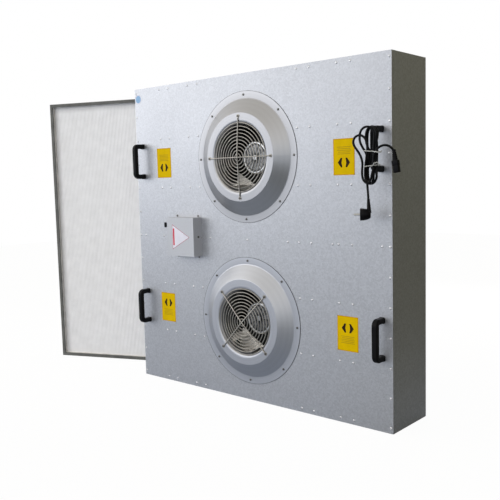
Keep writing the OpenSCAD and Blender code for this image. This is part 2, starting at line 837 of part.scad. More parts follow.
module stator_lower() {
    stator(lower_z);
}

front_bearing_y = tube_front_y + 1;
rear_bearing_y = shaft_end_y - bearing_w - 3;

module motor_bearings() {
    color([0.7, 0.7, 0.7]) for (z = fan_zs, y = [front_bearing_y, rear_bearing_y])
        on_fan(z) translate([0, 0, y]) difference() {
            cylinder(d = bearing_d, h = bearing_w);
            translate([0, 0, -cut])
                cylinder(d = shaft_d + 2 * shaft_clear, h = bearing_w + 2 * cut);
        }
}

// Motor flange with the bearing tube in front and the finned housing behind.
housing_r = 60;
fin_h = 8;
fin_count = 30;
flange_t = 6;
gland_d = 14;
gland_reach = 66;
gland_y = bracket_y + housing_l - 10;

module motor_housing(z) {
    flange_y = bracket_y - flange_t;
    color([0.58, 0.58, 0.6]) on_fan(z) difference() {
        union() {
            translate([0, 0, flange_y]) cylinder(d = motor_flange_d, h = flange_t);
            translate([0, 0, tube_front_y]) cylinder(r = tube_r, h = flange_y - tube_front_y + 1);
            translate([0, 0, bracket_y]) cylinder(r = housing_r - fin_h, h = housing_l);
            translate([0, 0, gland_y]) rotate([0, -90, 0]) cylinder(d = gland_d, h = gland_reach);
            translate([0, 0, bracket_y]) linear_extrude(housing_l - 4)
                for (i = [0 : fin_count - 1]) rotate([0, 0, i * 360 / fin_count])
                    translate([housing_r - 12, -1]) square([12, 2]);
            translate([0, 0, bracket_y + housing_l - 4])
                cylinder(r1 = housing_r, r2 = housing_r - 3, h = 4);
        }
        translate([0, 0, tube_front_y - cut]) cylinder(d = bearing_d, h = bearing_w + 1 + cut);
        translate([0, 0, tube_front_y + bearing_w])
            cylinder(d = bearing_d - 3, h = rear_bearing_y - tube_front_y - bearing_w + cut);
        translate([0, 0, rear_bearing_y]) cylinder(d = bearing_d, h = bearing_w);
        translate([0, 0, rear_bearing_y]) cylinder(d = bearing_d - 3, h = bearing_w + 6);
        around(4, motor_pcd / 2, 45) translate([0, 0, flange_y - cut])
            cylinder(d = motor_screw_d + 2 * fit, h = flange_t + 2 * cut);
    }
}

module motor_housing_upper() {
    motor_housing(upper_z);
}

module motor_housing_lower() {
    motor_housing(lower_z);
}

motor_screw_d = 5;
bracket_half_w = rail_inner_x + 30;

// Folded bracket plate with an opening for the motor housing and rims along both long edges.
module motor_bracket(z) {
    y0 = bracket_y;
    y1 = bracket_y + bracket_t;
    color(galvanised) from_face() translate([0, 0, z]) difference() {
        union() {
            block([-bracket_half_w, y0, -bracket_h / 2], [bracket_half_w, y1, bracket_h / 2]);
            for (side = [0, 1]) mirror([0, 0, side])
                block([-bracket_half_w, y0, bracket_h / 2 - bracket_t],
                      [bracket_half_w, y0 + bracket_rim, bracket_h / 2]);
        }
        peg(0, 0, 2 * housing_r + 2, y0 - cut, y1 + cut);
        for (i = [0 : 3])
            peg(motor_pcd / 2 * cos(45 + i * 90), motor_pcd / 2 * sin(45 + i * 90),
                motor_screw_d + 2 * fit, y0 - cut, y1 + cut);
        for (x = [-rail_inner_x, rail_inner_x], side = [-1, 1])
            peg(x, side * spacer_z, bracket_screw_d + 2 * fit, y0 - cut, y1 + cut);
        for (x = [-1, 1], side = [-1, 1])
            block([x * 165 - 40, y0 - cut, side * 45 - 22], [x * 165 + 40, y1 + cut, side * 45 + 22]);
    }
}

module motor_bracket_upper() {
    motor_bracket(upper_z);
}

module motor_bracket_lower() {
    motor_bracket(lower_z);
}

module bracket_spacers() {
    color(zinc) from_face() for (at = spacer_at) difference() {
        peg(at[0], at[1], spacer_d, rail_crown_y, bracket_y);
        peg(at[0], at[1], bracket_screw_d + 2 * fit, rail_crown_y - cut, bracket_y + cut);
    }
}

module bracket_screws() {
    l = bracket_y + bracket_t - rail_crown_y + sheet_t + 4;
    color(zinc) from_face() for (at = spacer_at)
        translate([at[0], bracket_y + bracket_t, at[1]]) rotate([90, 0, 0])
            pin_with_head(12, 5, bracket_screw_d, l);
}

module motor_screws() {
    color(zinc) for (z = fan_zs) on_fan(z) around(4, motor_pcd / 2, 45)
        translate([0, 0, bracket_y + bracket_t]) rotate([180, 0, 0])
            pin_with_head(9, 4, motor_screw_d, bracket_t + flange_t);
}

// ---------- motor cables, held along the bracket and the divider ----------

cable_d = 8;
cable_gap = 9;

function motor_cable_route(z, up, side) = [
    [-gland_reach, gland_y, z], [-78, gland_y, z], [-120, gland_y, z + up * 10],
    [-160, gland_y, z + up * 40], [-190, gland_y, z + up * 80], [-215, 128, z + up * 105],
    [-245, 112, z + up * 130], [-275, 88, z + up * 165], [-305, 66, z + up * 200],
    [grommet_at[0] + side, 54, z + up * 228]];

module motor_cable_upper() {
    color(black_plastic) from_face()
        tube(concat(motor_cable_route(upper_z, -1, cable_gap / 2),
                    [[grommet_at[0] + cable_gap / 2, 30, grommet_at[1] + 3],
                     [grommet_at[0] + cable_gap / 2, 12, grommet_at[1]],
                     [grommet_at[0] + cable_gap / 2, 4, grommet_at[1]]]), cable_d);
}

module motor_cable_lower() {
    color(black_plastic) from_face()
        tube(concat(motor_cable_route(lower_z, 1, -cable_gap / 2),
                    [[grommet_at[0] - cable_gap / 2, 53, divider_z - 25],
                     [grommet_at[0] - cable_gap / 2, 53, divider_z + 18],
                     [grommet_at[0] - cable_gap / 2, 30, grommet_at[1] - 3],
                     [grommet_at[0] - cable_gap / 2, 12, grommet_at[1]],
                     [grommet_at[0] - cable_gap / 2, 4, grommet_at[1]]]), cable_d);
}

// ---------- control box ----------

tray_t = 1.2;
box_screw_d = 4;
box_screw_x = 57;
box_low = box_z - box_h / 2;
box_high = box_z + box_h / 2;
box_base_screw_at = [for (x = [-box_screw_x, box_screw_x], z = [box_low - tab_h / 2,
    box_high + tab_h / 2]) [-box_x + x, z]];
box_side_screw_y = -box_d * 0.42;
box_wall = 1.2;
inlet_z = box_z + 20;
inlet_y = -box_d / 2 - 1;
inlet_hole = [20, 28];

// Base tray: a plate with tabs over and under the box and two upstands inside its walls.
module box_base() {
    half = box_w / 2;
    upstand = box_d * 0.62;
    color(galvanised) from_face() difference() {
        union() {
            block([-box_x - half, -tray_t, box_low - tab_h], [-box_x + half, 0, box_high + tab_h]);
            block([-box_x + half - 2 * box_wall, -upstand, box_low + 12],
                  [-box_x + half - box_wall, 0, box_high - 12]);
        }
        for (at = box_base_screw_at)
            peg(at[0], at[1], box_screw_d + 2 * fit, -tray_t - cut, cut);
        for (at = concat(rail_rivets, divider_rivets))
            if (abs(at[0] + box_x) < half)
                peg(at[0], at[1], rivet_head_d + 4 * fit, -rivet_head_h - fit, cut);
        peg(grommet_at[0], grommet_at[1], grommet_d, -tray_t - cut, cut);
        translate([-box_x + half + cut, box_side_screw_y, box_z]) rotate([0, -90, 0])
            cylinder(d = box_screw_d + 2 * fit, h = 10);
    }
}

module box_cover() {
    half = box_w / 2;
    color([0.76, 0.77, 0.8]) from_face() difference() {
        block([-box_x - half, -box_d, box_low], [-box_x + half, -tray_t, box_high]);
        block([-box_x - half + box_wall, -box_d + box_wall, box_low + box_wall],
              [-box_x + half - box_wall, cut, box_high - box_wall]);
        translate([-box_x + half + cut, box_side_screw_y, box_z]) rotate([0, -90, 0])
            cylinder(d = box_screw_d + 2 * fit, h = 10);
        translate([-box_x - half, inlet_y, inlet_z])
            cube([10, inlet_hole[0] + 2 * fit, inlet_hole[1] + 2 * fit], center = true);
    }
}

module box_screws() {
    color(zinc) from_face() {
        for (at = box_base_screw_at) translate([at[0], -tray_t, at[1]]) rotate([-90, 0, 0])
            pin_with_head(8, 2.2, box_screw_d, 7);
        translate([-box_x + box_w / 2, box_side_screw_y, box_z]) rotate([0, -90, 0])
            pin_with_head(8, 2.2, box_screw_d, 7);
    }
}

board_at = [-box_x + 5, -10, box_low + 50];
board_size = [112, 1.6, 76];

// Motor controller board on four stand-offs, with its soldered parts.
module circuit_board() {
    color([0.1, 0.35, 0.2]) from_face() translate(board_at) {
        cube(board_size, center = true);
        for (x = [-1, 1], z = [-1, 1])
            peg(x * (board_size[0] / 2 - 5), z * (board_size[2] / 2 - 5), 6, 0,
                -board_at[1] - tray_t);
        for (x = [-38, -20]) peg(x, 16, 16, -22, 0);
        block([-8, -19, -2], [22, 0, 26]);
        block([30, -15, -30], [38, 0, 24]);
        for (i = [0 : 4]) block([-48 + i * 12, -8, -28], [-40 + i * 12, 0, -18]);
    }
}

module terminal_block() {
    at = [-box_x + 36, 0, box_z + 40];
    color([0.85, 0.85, 0.82]) from_face() translate(at) difference() {
        block([-20, -20, -11], [20, -tray_t, 11]);
        for (i = [-1.5 : 1 : 1.5]) {
            peg(i * 9, -5, 5, -20 - cut, -12);
            block([i * 9 - 3, -16, 5], [i * 9 + 3, -8, 11 + cut]);
        }
    }
}

// Three-pin mains inlet in the box's left wall.
module mains_inlet() {
    wall_x = -box_x - box_w / 2;
    color(black_plastic) from_face() translate([wall_x, inlet_y, inlet_z]) difference() {
        union() {
            block([-2, -inlet_hole[0] / 2 - 3, -inlet_hole[1] / 2 - 4],
                  [0, inlet_hole[0] / 2 + 3, inlet_hole[1] / 2 + 4]);
            block([-cut, -inlet_hole[0] / 2, -inlet_hole[1] / 2],
                  [20, inlet_hole[0] / 2, inlet_hole[1] / 2]);
        }
        difference() {
            block([-3, -8.2, -12.2], [15, 8.2, 12.2]);
            for (at = [[2, 0], [-2.5, 7], [-2.5, -7]])
                translate([7, at[0], at[1]]) cube([18, 4, 2], center = true);
        }
    }
}

module cable_grommet() {
    color(black_plastic) on_panel(grommet_at[0], grommet_at[1]) {
        translate([0, 0, -sheet_t - 2.5]) cylinder(d = grommet_d + 6, h = 2.5);
        translate([0, 0, -sheet_t - 1]) cylinder(d = grommet_d - 2 * fit, h = sheet_t + 5);
    }
}

module blanking_plug() {
    color(black_plastic) on_panel(plug_at[0], plug_at[1]) {
        linear_extrude(2) soft_square(plug_size, 4);
        translate([0, 0, -sheet_t]) linear_extrude(sheet_t + cut)
            square([plug_size[0] - 3 - 2 * fit, plug_size[1] - 3 - 2 * fit], center = true);
    }
}

// ---------- handles ----------

module handle_section() {
    soft_square([handle_w, handle_t], 5);
}

module handle(x, z) {
    bend = 13;
    color(black_plastic) on_panel(x, z + handle_lift) difference() {
        union() {
            for (side = [0, 1]) mirror([0, side, 0]) {
                translate([0, handle_leg, 0])
                    linear_extrude(handle_rise - bend) handle_section();
                translate([0, handle_leg - bend, handle_rise - bend])
                    rotate([0, 90, 0]) rotate([0, 0, 90])
                        rotate_extrude(angle = 90) translate([bend, 0])
                            rotate([0, 0, 90]) handle_section();
                translate([0, handle_leg, 0]) linear_extrude(4)
                    soft_square([handle_w + 2, handle_t + 2], 6);
            }
            translate([0, handle_leg - bend, handle_rise]) rotate([90, 0, 0])
                linear_extrude(2 * (handle_leg - bend)) handle_section();
        }
        for (side = [-1, 1]) translate([0, side * handle_leg, -cut])
            cylinder(d = handle_screw_d + 2 * fit, h = handle_screw_grip + 2 * cut);
    }
}

module handle_upper_left() {
    handle(-handle_x, upper_z);
}

module handle_upper_right() {
    handle(handle_x, upper_z);
}

module handle_lower_left() {
    handle(-handle_x, lower_z);
}

module handle_lower_right() {
    handle(handle_x, lower_z);
}

module handle_screws() {
    color(zinc) from_face() for (at = handle_screw_at)
        translate([at[0], sheet_t, at[1]]) rotate([90, 0, 0])
            pin_with_head(handle_screw_head_d, 4, handle_screw_d, sheet_t + handle_screw_grip);
}

// ---------- mains lead, tied to the upper right handle ----------

// The lead's places are counted from the middle of the grip's front, y towards the casing.
module on_grip() {
    translate([handle_x, -case_d / 2 - grip_front, upper_z + handle_lift]) children();
}

grip_front = handle_rise + handle_t / 2;
hank_x = -3;
hank_back_y = -seat;
hank_front_y = hank_back_y - 4 * cord_d;
hank_lobe_d = 50;
hank_waist_w = 38;
hank_top_z = 42;
hank_bottom_z = -78;
waist_top_z = -1;
waist_bottom_z = -55;
tie_zs = [-48, -8];
tie_wire = 1.8;

module lead_hank() {
    lobe = hank_lobe_d / 2;
    waist = hank_waist_w / 2;
    color(black_plastic) on_grip() translate([hank_x, hank_back_y, 0]) rotate([90, 0, 0])
        linear_extrude(hank_back_y - hank_front_y) {
            translate([0, hank_top_z]) circle(d = hank_lobe_d);
            translate([0, hank_bottom_z]) circle(d = hank_lobe_d);
            polygon([[-lobe, hank_top_z], [-waist, waist_top_z], [-waist, waist_bottom_z],
                     [-lobe, hank_bottom_z], [lobe, hank_bottom_z], [waist, waist_bottom_z],
                     [waist, waist_top_z], [lobe, hank_top_z]]);
        }
}

loop_route = [[-18, -16, -35], [-28, -17, -23], [-38, -17, -9], [-49, -17, 5], [-57, -17, 16],
              [-60, -17, 25], [-58, -17, 34], [-51, -17, 40], [-42, -17, 42], [-33, -17, 39],
              [-25, -17, 32], [-17, -16, 23]];

module lead_loop() {
    color(black_plastic) on_grip() tube(loop_route, cord_d);
}

connector_tail_route = [[8, -15, -9], [15, -14, 3], [24, -12, 11], [34, -10, 15], [45, -7, 15],
                        [55, -4, 11], [64, -2, 4], [70, -1, -5], [73, 0, -13]];

module lead_connector_tail() {
    color(black_plastic) on_grip() tube(connector_tail_route, cord_d);
}

plug_tail_route = [[-15, -13, -93], [-15, -13, -105], [-15, -12, -117], [-14, -9, -129],
                   [-12, -6, -140], [-12, -6, -149]];

module lead_plug_tail() {
    color(black_plastic) on_grip() tube(plug_tail_route, cord_d);
}

connector_at = connector_tail_route[len(connector_tail_route) - 1];
connector_lean = 8;
boot_l = 26;
boot_d = 11;
boot_ring_pitch = 5.5;
connector_neck = [22, 17];
connector_body = [27, 20];
connector_l = 56;
connector_slot = [2.4, 5, 30];

// Three-way connector on the end of the lead, hanging mouth down. Local z = 0 is the boot's end.
module lead_connector() {
    color(black_plastic) on_grip() translate(connector_at) rotate([0, -connector_lean, 0])
        difference() {
            union() {
                translate([0, 0, -boot_l]) cylinder(d1 = boot_d + 5, d2 = boot_d, h = boot_l);
                for (i = [0 : 3]) translate([0, 0, -boot_l + 4 + i * boot_ring_pitch])
                    cylinder(d1 = boot_d + 6.5 - i, d2 = boot_d + 6 - i, h = 2.5);
                translate([0, 0, -boot_l - 12]) linear_extrude(14) soft_square(connector_neck, 5);
                translate([0, 0, -connector_l]) linear_extrude(22) soft_square(connector_body, 4);
            }
            for (at = [[0, 3], [-7, -2.5], [7, -2.5]])
                translate([at[0], at[1], -connector_l]) cube(connector_slot, center = true);
        }
}

relief_l = 39;
relief_d = 11;
plug_body_d = 37;
plug_body_l = 17;
plug_back_l = 9;
pin_d = 4.8;
pin_l = 19;
pin_pitch = 19;
plug_tail_end = plug_tail_route[len(plug_tail_route) - 1];

// Angled two-pin mains plug with its strain relief on top. Local z = 0 is the relief's end, and
// the plug's face with the pins looks to -x.
module lead_plug() {
    face_x = -20;
    body_z = -relief_l - 5;
    color(black_plastic) on_grip() translate(plug_tail_end) {
        translate([face_x, 0, body_z]) rotate([0, 90, 0]) {
            cylinder(d = plug_body_d, h = plug_body_l);
            translate([0, 0, plug_body_l])
                cylinder(d1 = plug_body_d, d2 = plug_body_d - 9, h = plug_back_l);
            translate([0, 0, plug_body_l + plug_back_l])
                cylinder(d1 = plug_body_d - 9, d2 = plug_body_d - 17, h = 3);
        }
        translate([0, 0, -relief_l]) cylinder(d1 = relief_d + 9, d2 = relief_d, h = relief_l);
        for (side = [-1, 1]) translate([face_x, side * pin_pitch / 2, body_z])
            rotate([0, -90, 0]) cylinder(d = pin_d, h = pin_l);
    }
}

// Section of a tie: a wire bent round the grip and the hank's waist, x by depth.
module tie_ring() {
    back_y = handle_t + 0.5;
    grip = handle_w / 2 + 0.6;
    waist = hank_waist_w / 2 + 0.4;
    shape = [[-grip, back_y], [grip, back_y],
             [hank_x + waist, hank_back_y + 2], [hank_x + waist, hank_front_y - 0.4],
             [hank_x - waist, hank_front_y - 0.4], [hank_x - waist, hank_back_y + 2]];
    middle = [hank_x, (back_y + hank_front_y) / 2];
    difference() {
        polygon([for (p = shape) p + tie_wire * [sign(p[0] - middle[0]), sign(p[1] - middle[1])]]);
        polygon(shape);
    }
}

module lead_ties() {
    color([0.7, 0.7, 0.7]) on_grip() for (z = tie_zs)
        translate([0, 0, z - tie_wire / 2]) linear_extrude(tie_wire) tie_ring();
}

// ---------- filter, taken off and stood against the casing's back edge ----------

// Frame of the filter: x along its width, y into its depth, z up; y = 0 is its gasket's face.
module on_filter() {
    translate([-case_w / 2, case_d / 2 + seat, 0]) rotate([0, 0, filter_turn])
        translate([-filter_reach, 0, 0]) children();
}

// A ring along the filter's edges, between two insets and two depths.
module filter_ring(outer, inner, y0, y1) {
    difference() {
        block([outer, y0, outer], [filter_w - outer, y1, filter_w - outer]);
        block([inner, y0 - cut, inner], [filter_w - inner, y1 + cut, filter_w - inner]);
    }
}

frame_y = gasket_t;
frame_end_y = gasket_t + filter_d;

module filter_frame() {
    color([0.5, 0.5, 0.5]) on_filter() difference() {
        filter_ring(0, filter_rim, frame_y, frame_end_y);
        filter_ring(filter_wall, filter_rim + cut, frame_y + filter_wall, frame_end_y - filter_wall);
    }
}

module filter_potting() {
    color([0.88, 0.87, 0.84]) on_filter()
        filter_ring(filter_wall, filter_rim, frame_y + filter_wall, frame_end_y - filter_wall);
}

// One sheet of paper folded to and fro, its folds standing upright.
module filter_media() {
    span = filter_w - 2 * filter_rim;
    folds = 2 * floor(span / pleat_pitch);
    step = span / folds;
    y0 = frame_y + pleat_inset;
    y1 = frame_end_y - pleat_inset;
    tip = pleat_t * norm([step, y1 - y0]) / step;
    path = [for (i = [0 : folds]) [filter_rim + i * step, i % 2 == 0 ? y1 - tip : y0]];
    color([0.85, 0.84, 0.82]) on_filter() translate([0, 0, filter_rim])
        linear_extrude(filter_w - 2 * filter_rim)
            polygon(concat(path, reversed([for (p = path) p + [0, tip]])));
}

module filter_gasket() {
    color([0.16, 0.16, 0.16]) on_filter() filter_ring(1, filter_rim - 1, 0, gasket_t);
}

front_panel();
left_wall();
right_wall();
top_wall();
bottom_wall();
outlet_frame();
wall_lining();
panel_rails();
mid_divider();
panel_rivets();
inlet_cone_upper();
inlet_cone_lower();
cone_screws();
guard_upper();
guard_lower();
guard_screws();
motor_bracket_upper();
motor_bracket_lower();
bracket_spacers();
bracket_screws();
motor_housing_upper();
motor_housing_lower();
motor_screws();
stator_upper();
stator_lower();
motor_bearings();
impeller_upper();
impeller_lower();
rotor_upper();
rotor_lower();
magnets_upper();
magnets_lower();
impeller_screws_upper();
impeller_screws_lower();
motor_cable_upper();
motor_cable_lower();
box_base();
box_cover();
box_screws();
circuit_board();
terminal_block();
mains_inlet();
cable_grommet();
blanking_plug();
handle_upper_left();
handle_upper_right();
handle_lower_left();
handle_lower_right();
handle_screws();
lead_hank();
lead_loop();
lead_connector_tail();
lead_plug_tail();
lead_connector();
lead_plug();
lead_ties();
filter_frame();
filter_potting();
filter_media();
filter_gasket();
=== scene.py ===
"""Dresses the fan filter unit: finishes, guards, fasteners, mains lead, pleats and labels."""

import json
import math

import bmesh
import bpy
from mathutils import Matrix, Vector


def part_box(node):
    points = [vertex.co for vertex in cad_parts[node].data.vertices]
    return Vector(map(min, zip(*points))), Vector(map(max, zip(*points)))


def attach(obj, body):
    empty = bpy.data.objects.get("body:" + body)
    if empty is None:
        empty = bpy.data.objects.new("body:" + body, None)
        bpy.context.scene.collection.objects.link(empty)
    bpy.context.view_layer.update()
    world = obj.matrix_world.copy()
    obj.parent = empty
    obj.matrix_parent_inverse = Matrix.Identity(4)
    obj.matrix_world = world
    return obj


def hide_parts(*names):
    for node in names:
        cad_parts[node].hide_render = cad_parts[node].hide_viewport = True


bl_info = {
    "name": "Fan Filter Unit",
    "version": (1, 0, 0),
    "blender": (4, 5, 0),
    "location": "View3D > Sidebar > Fan Filter Unit",
    "description": "Builds the visible finish of a fan filter unit round its construction model",
    "category": "Object",
}

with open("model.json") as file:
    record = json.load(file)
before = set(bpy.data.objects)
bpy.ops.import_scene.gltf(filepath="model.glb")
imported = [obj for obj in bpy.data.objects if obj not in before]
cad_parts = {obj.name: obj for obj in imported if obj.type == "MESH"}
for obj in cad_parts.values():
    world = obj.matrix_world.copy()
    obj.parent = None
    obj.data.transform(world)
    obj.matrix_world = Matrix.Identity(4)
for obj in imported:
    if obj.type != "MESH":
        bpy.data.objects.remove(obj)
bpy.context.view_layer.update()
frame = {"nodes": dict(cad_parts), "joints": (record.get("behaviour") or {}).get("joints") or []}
nodes = frame["nodes"]

MM = 0.001
ROOT = "unit"

# ---------- places taken from the frame ----------

face_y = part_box("front_panel")[0].y
fans = {"upper": frame["joints"][0]["pos_m"][2], "lower": frame["joints"][1]["pos_m"][2]}

# The filter leans against the casing's back left edge, turned by this angle about the upright. Its
# frame starts FILTER_BACK from that edge along its own length, and its paper PAPER_MARGIN further
# in. PAPER_DEPTHS are the depths of the paper's two sides in millimetres.
FILTER_TURN = math.radians(22.8)
FILTER_CORNER = Vector((-0.5875, 0.1078, 0))
FILTER_BACK = -0.619
FILTER_ALONG = Vector((math.cos(FILTER_TURN), math.sin(FILTER_TURN), 0))
FILTER_START = FILTER_CORNER.dot(FILTER_ALONG) + FILTER_BACK
PAPER_MARGIN = 0.015
PAPER_WIDTH = 1.135
PAPER_DEPTHS = (14.0, 65.0)


def at(x, depth, z):
    """A point given in millimetres, with its depth counted behind the inlet face."""
    return Vector((x * MM, face_y + depth * MM, z * MM))


# ---------- helpers for modelling ----------


def deselect():
    if bpy.context.object and bpy.context.object.mode != "OBJECT":
        bpy.ops.object.mode_set(mode="OBJECT")
    bpy.ops.object.select_all(action="DESELECT")


def only(obj):
    """Selects one object and makes it active."""
    deselect()
    obj.select_set(True)
    bpy.context.view_layer.objects.active = obj
    return obj


def fresh(name):
    """Names the primitive that was just added."""
    obj = bpy.context.object
    obj.name = name
    obj.data.name = name
    return obj


def settle(obj):
    """Puts the object's place, turn and size into its mesh."""
    only(obj)
    bpy.ops.object.transform_apply(location=True, rotation=True, scale=True)
    return obj


def apply_modifier(obj, kind, **values):
    only(obj)
    modifier = obj.modifiers.new(kind.lower(), kind)
    for key, value in values.items():
        setattr(modifier, key, value)
    bpy.ops.object.modifier_apply(modifier=modifier.name)


def join(parts, name):
    deselect()
    for part in parts:
        part.select_set(True)
    bpy.context.view_layer.objects.active = parts[0]
    if len(parts) > 1:
        bpy.ops.object.join()
    return settle(fresh(name))


def to_mesh(obj):
    only(obj)
    bpy.ops.object.convert(target="MESH")
    return obj


def line_curve(name, points, closed=False, **values):
    """A curve with straight runs through the points and the settings given."""
    curve = bpy.data.curves.new(name, "CURVE")
    for key, value in {"dimensions": "3D", **values}.items():
        setattr(curve, key, value)
    spline = curve.splines.new("POLY")
    spline.points.add(len(points) - 1)
    for place, point in zip(spline.points, points):
        place.co = (*point, 1)
    spline.use_cyclic_u = closed
    obj = bpy.data.objects.new(name, curve)
    bpy.context.scene.collection.objects.link(obj)
    return obj


def cylinder(name, vertices, radius, depth, place):
    """A cylinder along Y."""
    deselect()
    bpy.ops.mesh.primitive_cylinder_add(vertices=vertices, radius=radius, depth=depth,
                                        rotation=(math.pi / 2, 0, 0), location=place)
    return settle(fresh(name))


def cuboid(name, size, place=(0, 0, 0)):
    deselect()
    bpy.ops.mesh.primitive_cube_add(size=1, location=place, scale=size)
    return settle(fresh(name))


def copies(model, places):
    """One copy of a model for each matrix, with the place in the copy's own mesh."""
    made = []
    for place in places:
        copy = bpy.data.objects.new(model.name, model.data.copy())
        bpy.context.scene.collection.objects.link(copy)
        copy.data.transform(place)
        made.append(copy)
    bpy.data.objects.remove(model)
    return made


def shade(obj, angle=35):
    only(obj)
    bpy.ops.object.shade_smooth_by_angle(angle=math.radians(angle))
    return obj


def coated(obj, material):
    obj.data.materials.clear()
    obj.data.materials.append(material)
    return obj


def dress(obj, material, replaced=()):
    """Gives a new piece its finish and its place in the frame."""
    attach(coated(obj, material), ROOT)
    if replaced:
        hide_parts(*replaced)
    return obj


def finish_nodes(material, *names):
    """Gives construction nodes, which keep their own mesh, a finish."""
    for name in names:
        coated(nodes[name], material)


# ---------- helpers for materials ----------


def add_node(tree, kind, inputs=None, **settings):
    node = tree.nodes.new(kind)
    for key, value in settings.items():
        setattr(node, key, value)
    for key, value in (inputs or {}).items():
        if isinstance(value, bpy.types.NodeSocket):
            tree.links.new(value, node.inputs[key])
        else:
            node.inputs[key].default_value = value
    return node


def new_material(name, color, roughness, metallic=0.0, **sockets):
    """A material with its Principled shader; returns the material, its tree and the shader."""
    material = bpy.data.materials.new(name)
    material.use_nodes = True
    tree = material.node_tree
    shader = tree.nodes["Principled BSDF"]
    shader.inputs["Base Color"].default_value = (*color, 1)
    shader.inputs["Roughness"].default_value = roughness
    shader.inputs["Metallic"].default_value = metallic
    for key, value in sockets.items():
        shader.inputs[key.replace("_", " ")].default_value = value
    return material, tree, shader


def object_coordinates(tree, centre=(0, 0, 0)):
    """Object coordinates counted from a centre."""
    coordinates = add_node(tree, "ShaderNodeTexCoord").outputs["Object"]
    return add_node(tree, "ShaderNodeMapping",
                    {"Vector": coordinates, "Location": -Vector(centre)}).outputs["Vector"]


def separated(tree, vector):
    """The X, Y and Z of a vector."""
    outputs = add_node(tree, "ShaderNodeSeparateXYZ", {"Vector": vector}).outputs
    return outputs["X"], outputs["Y"], outputs["Z"]


def calculated(tree, operation, first, second=0.0):
    return add_node(tree, "ShaderNodeMath", {0: first, 1: second},
                    operation=operation).outputs["Value"]


def vector_math(tree, operation, first, second=(0, 0, 0)):
    node = add_node(tree, "ShaderNodeVectorMath", {0: first, 1: second}, operation=operation)
    return node.outputs["Value" if operation in ("LENGTH", "DOT_PRODUCT") else "Vector"]


def off_axis(tree, place):
    """Distance of a place from the Y axis."""
    return vector_math(tree, "LENGTH", vector_math(tree, "MULTIPLY", place, (1, 0, 1)))


def noise(tree, place, scale, detail, output="Fac", **inputs):
    """Noise over a vector, or along a line where the place is a single value."""
    on_line = place.type == "VALUE"
    return add_node(tree, "ShaderNodeTexNoise",
                    {"W" if on_line else "Vector": place, "Scale": scale, "Detail": detail,
                     **inputs}, noise_dimensions="1D" if on_line else "3D").outputs[output]


def ramp(tree, factor, stops):
    """A ramp with any number of stops, each a position and a colour or a grey level."""
    node = add_node(tree, "ShaderNodeValToRGB", {"Fac": factor})
    elements = node.color_ramp.elements
    while len(elements) < len(stops):
        elements.new(0.5)
    for element, (position, color) in zip(elements, stops):
        element.position = position
        element.color = (*color, 1) if isinstance(color, tuple) else (color, color, color, 1)
    return node.outputs["Color"]


def tones(tree, factor, color, contrast, low=0.0, high=1.0):
    """A colour that goes from darker to lighter with a factor."""
    return ramp(tree, factor, ((low, shifted(color, 1 - contrast)),
                               (high, shifted(color, 1 + contrast))))


def mix_color(tree, factor, first, second, blend="MIX"):
    """Mixes two colours, each a socket or a plain RGB."""
    values = [v if isinstance(v, bpy.types.NodeSocket) else (*v, 1) for v in (first, second)]
    color_a, color_b, color_result = 6, 7, 2
    node = add_node(tree, "ShaderNodeMix", {0: factor, color_a: values[0], color_b: values[1]},
                    data_type="RGBA", blend_type=blend)
    return node.outputs[color_result]


def spread(tree, factor, low, high, start=0.0, end=1.0):
    """A value that goes from low to high while the factor goes from start to end."""
    return add_node(tree, "ShaderNodeMapRange",
                    {"Value": factor, "From Min": start, "From Max": end, "To Min": low,
                     "To Max": high}).outputs["Result"]


def between(tree, value, start, end):
    """Where a value lies between start and end, from 0 to 1."""
    return spread(tree, value, 0.0, 1.0, start, end)


def bump(tree, shader, height, strength, distance):
    node = add_node(tree, "ShaderNodeBump",
                    {"Height": height, "Strength": strength, "Distance": distance})
    tree.links.new(node.outputs["Normal"], shader.inputs["Normal"])


def shifted(color, factor):
    return tuple(min(1.0, c * factor) for c in color)


groups = {}


def new_group(name, size, default, outputs):
    """A shader node group over a vector, with a named size and named outputs."""
    tree = bpy.data.node_groups.new(name, "ShaderNodeTree")
    tree.interface.new_socket("Vector", in_out="INPUT", socket_type="NodeSocketVector")
    socket = tree.interface.new_socket(size, in_out="INPUT", socket_type="NodeSocketFloat")
    socket.default_value = default
    for label in outputs:
        tree.interface.new_socket(label, in_out="OUTPUT", socket_type="NodeSocketFloat")
    given = tree.nodes.new("NodeGroupInput").outputs
    return tree, given["Vector"], given[size], tree.nodes.new("NodeGroupOutput").inputs


def use_group(tree, build, inputs):
    """Places a node group, which is built the first time; returns its outputs."""
    group = groups.get(build) or groups.setdefault(build, build())
    return add_node(tree, "ShaderNodeGroup", inputs, node_tree=group).outputs


def spangle_group():
    """Zinc crystals of galvanised sheet, with handling smears over them."""
    tree, vector, size, result = new_group("Zinc spangle", "Crystal Size", 0.004,
                                           ("Crystals", "Smears"))
    warp = noise(tree, vector, 130.0, 2.0, "Color")
    offset = vector_math(tree, "MULTIPLY", warp, (0.004, 0.004, 0.004))
    cells = add_node(tree, "ShaderNodeTexVoronoi",
                     {"Vector": vector_math(tree, "ADD", vector, offset),
                      "Scale": calculated(tree, "DIVIDE", 1.0, size)})
    crystal = add_node(tree, "ShaderNodeSeparateColor", {"Color": cells.outputs["Color"]})
    mixed = add_node(tree, "ShaderNodeMix", {"Factor": 0.45, "A": crystal.outputs["Red"],
                                             "B": noise(tree, vector, 420.0, 3.0)})
    tree.links.new(mixed.outputs["Result"], result["Crystals"])
    tree.links.new(noise(tree, vector, 5.0, 5.0, Roughness=0.6), result["Smears"])
    return tree


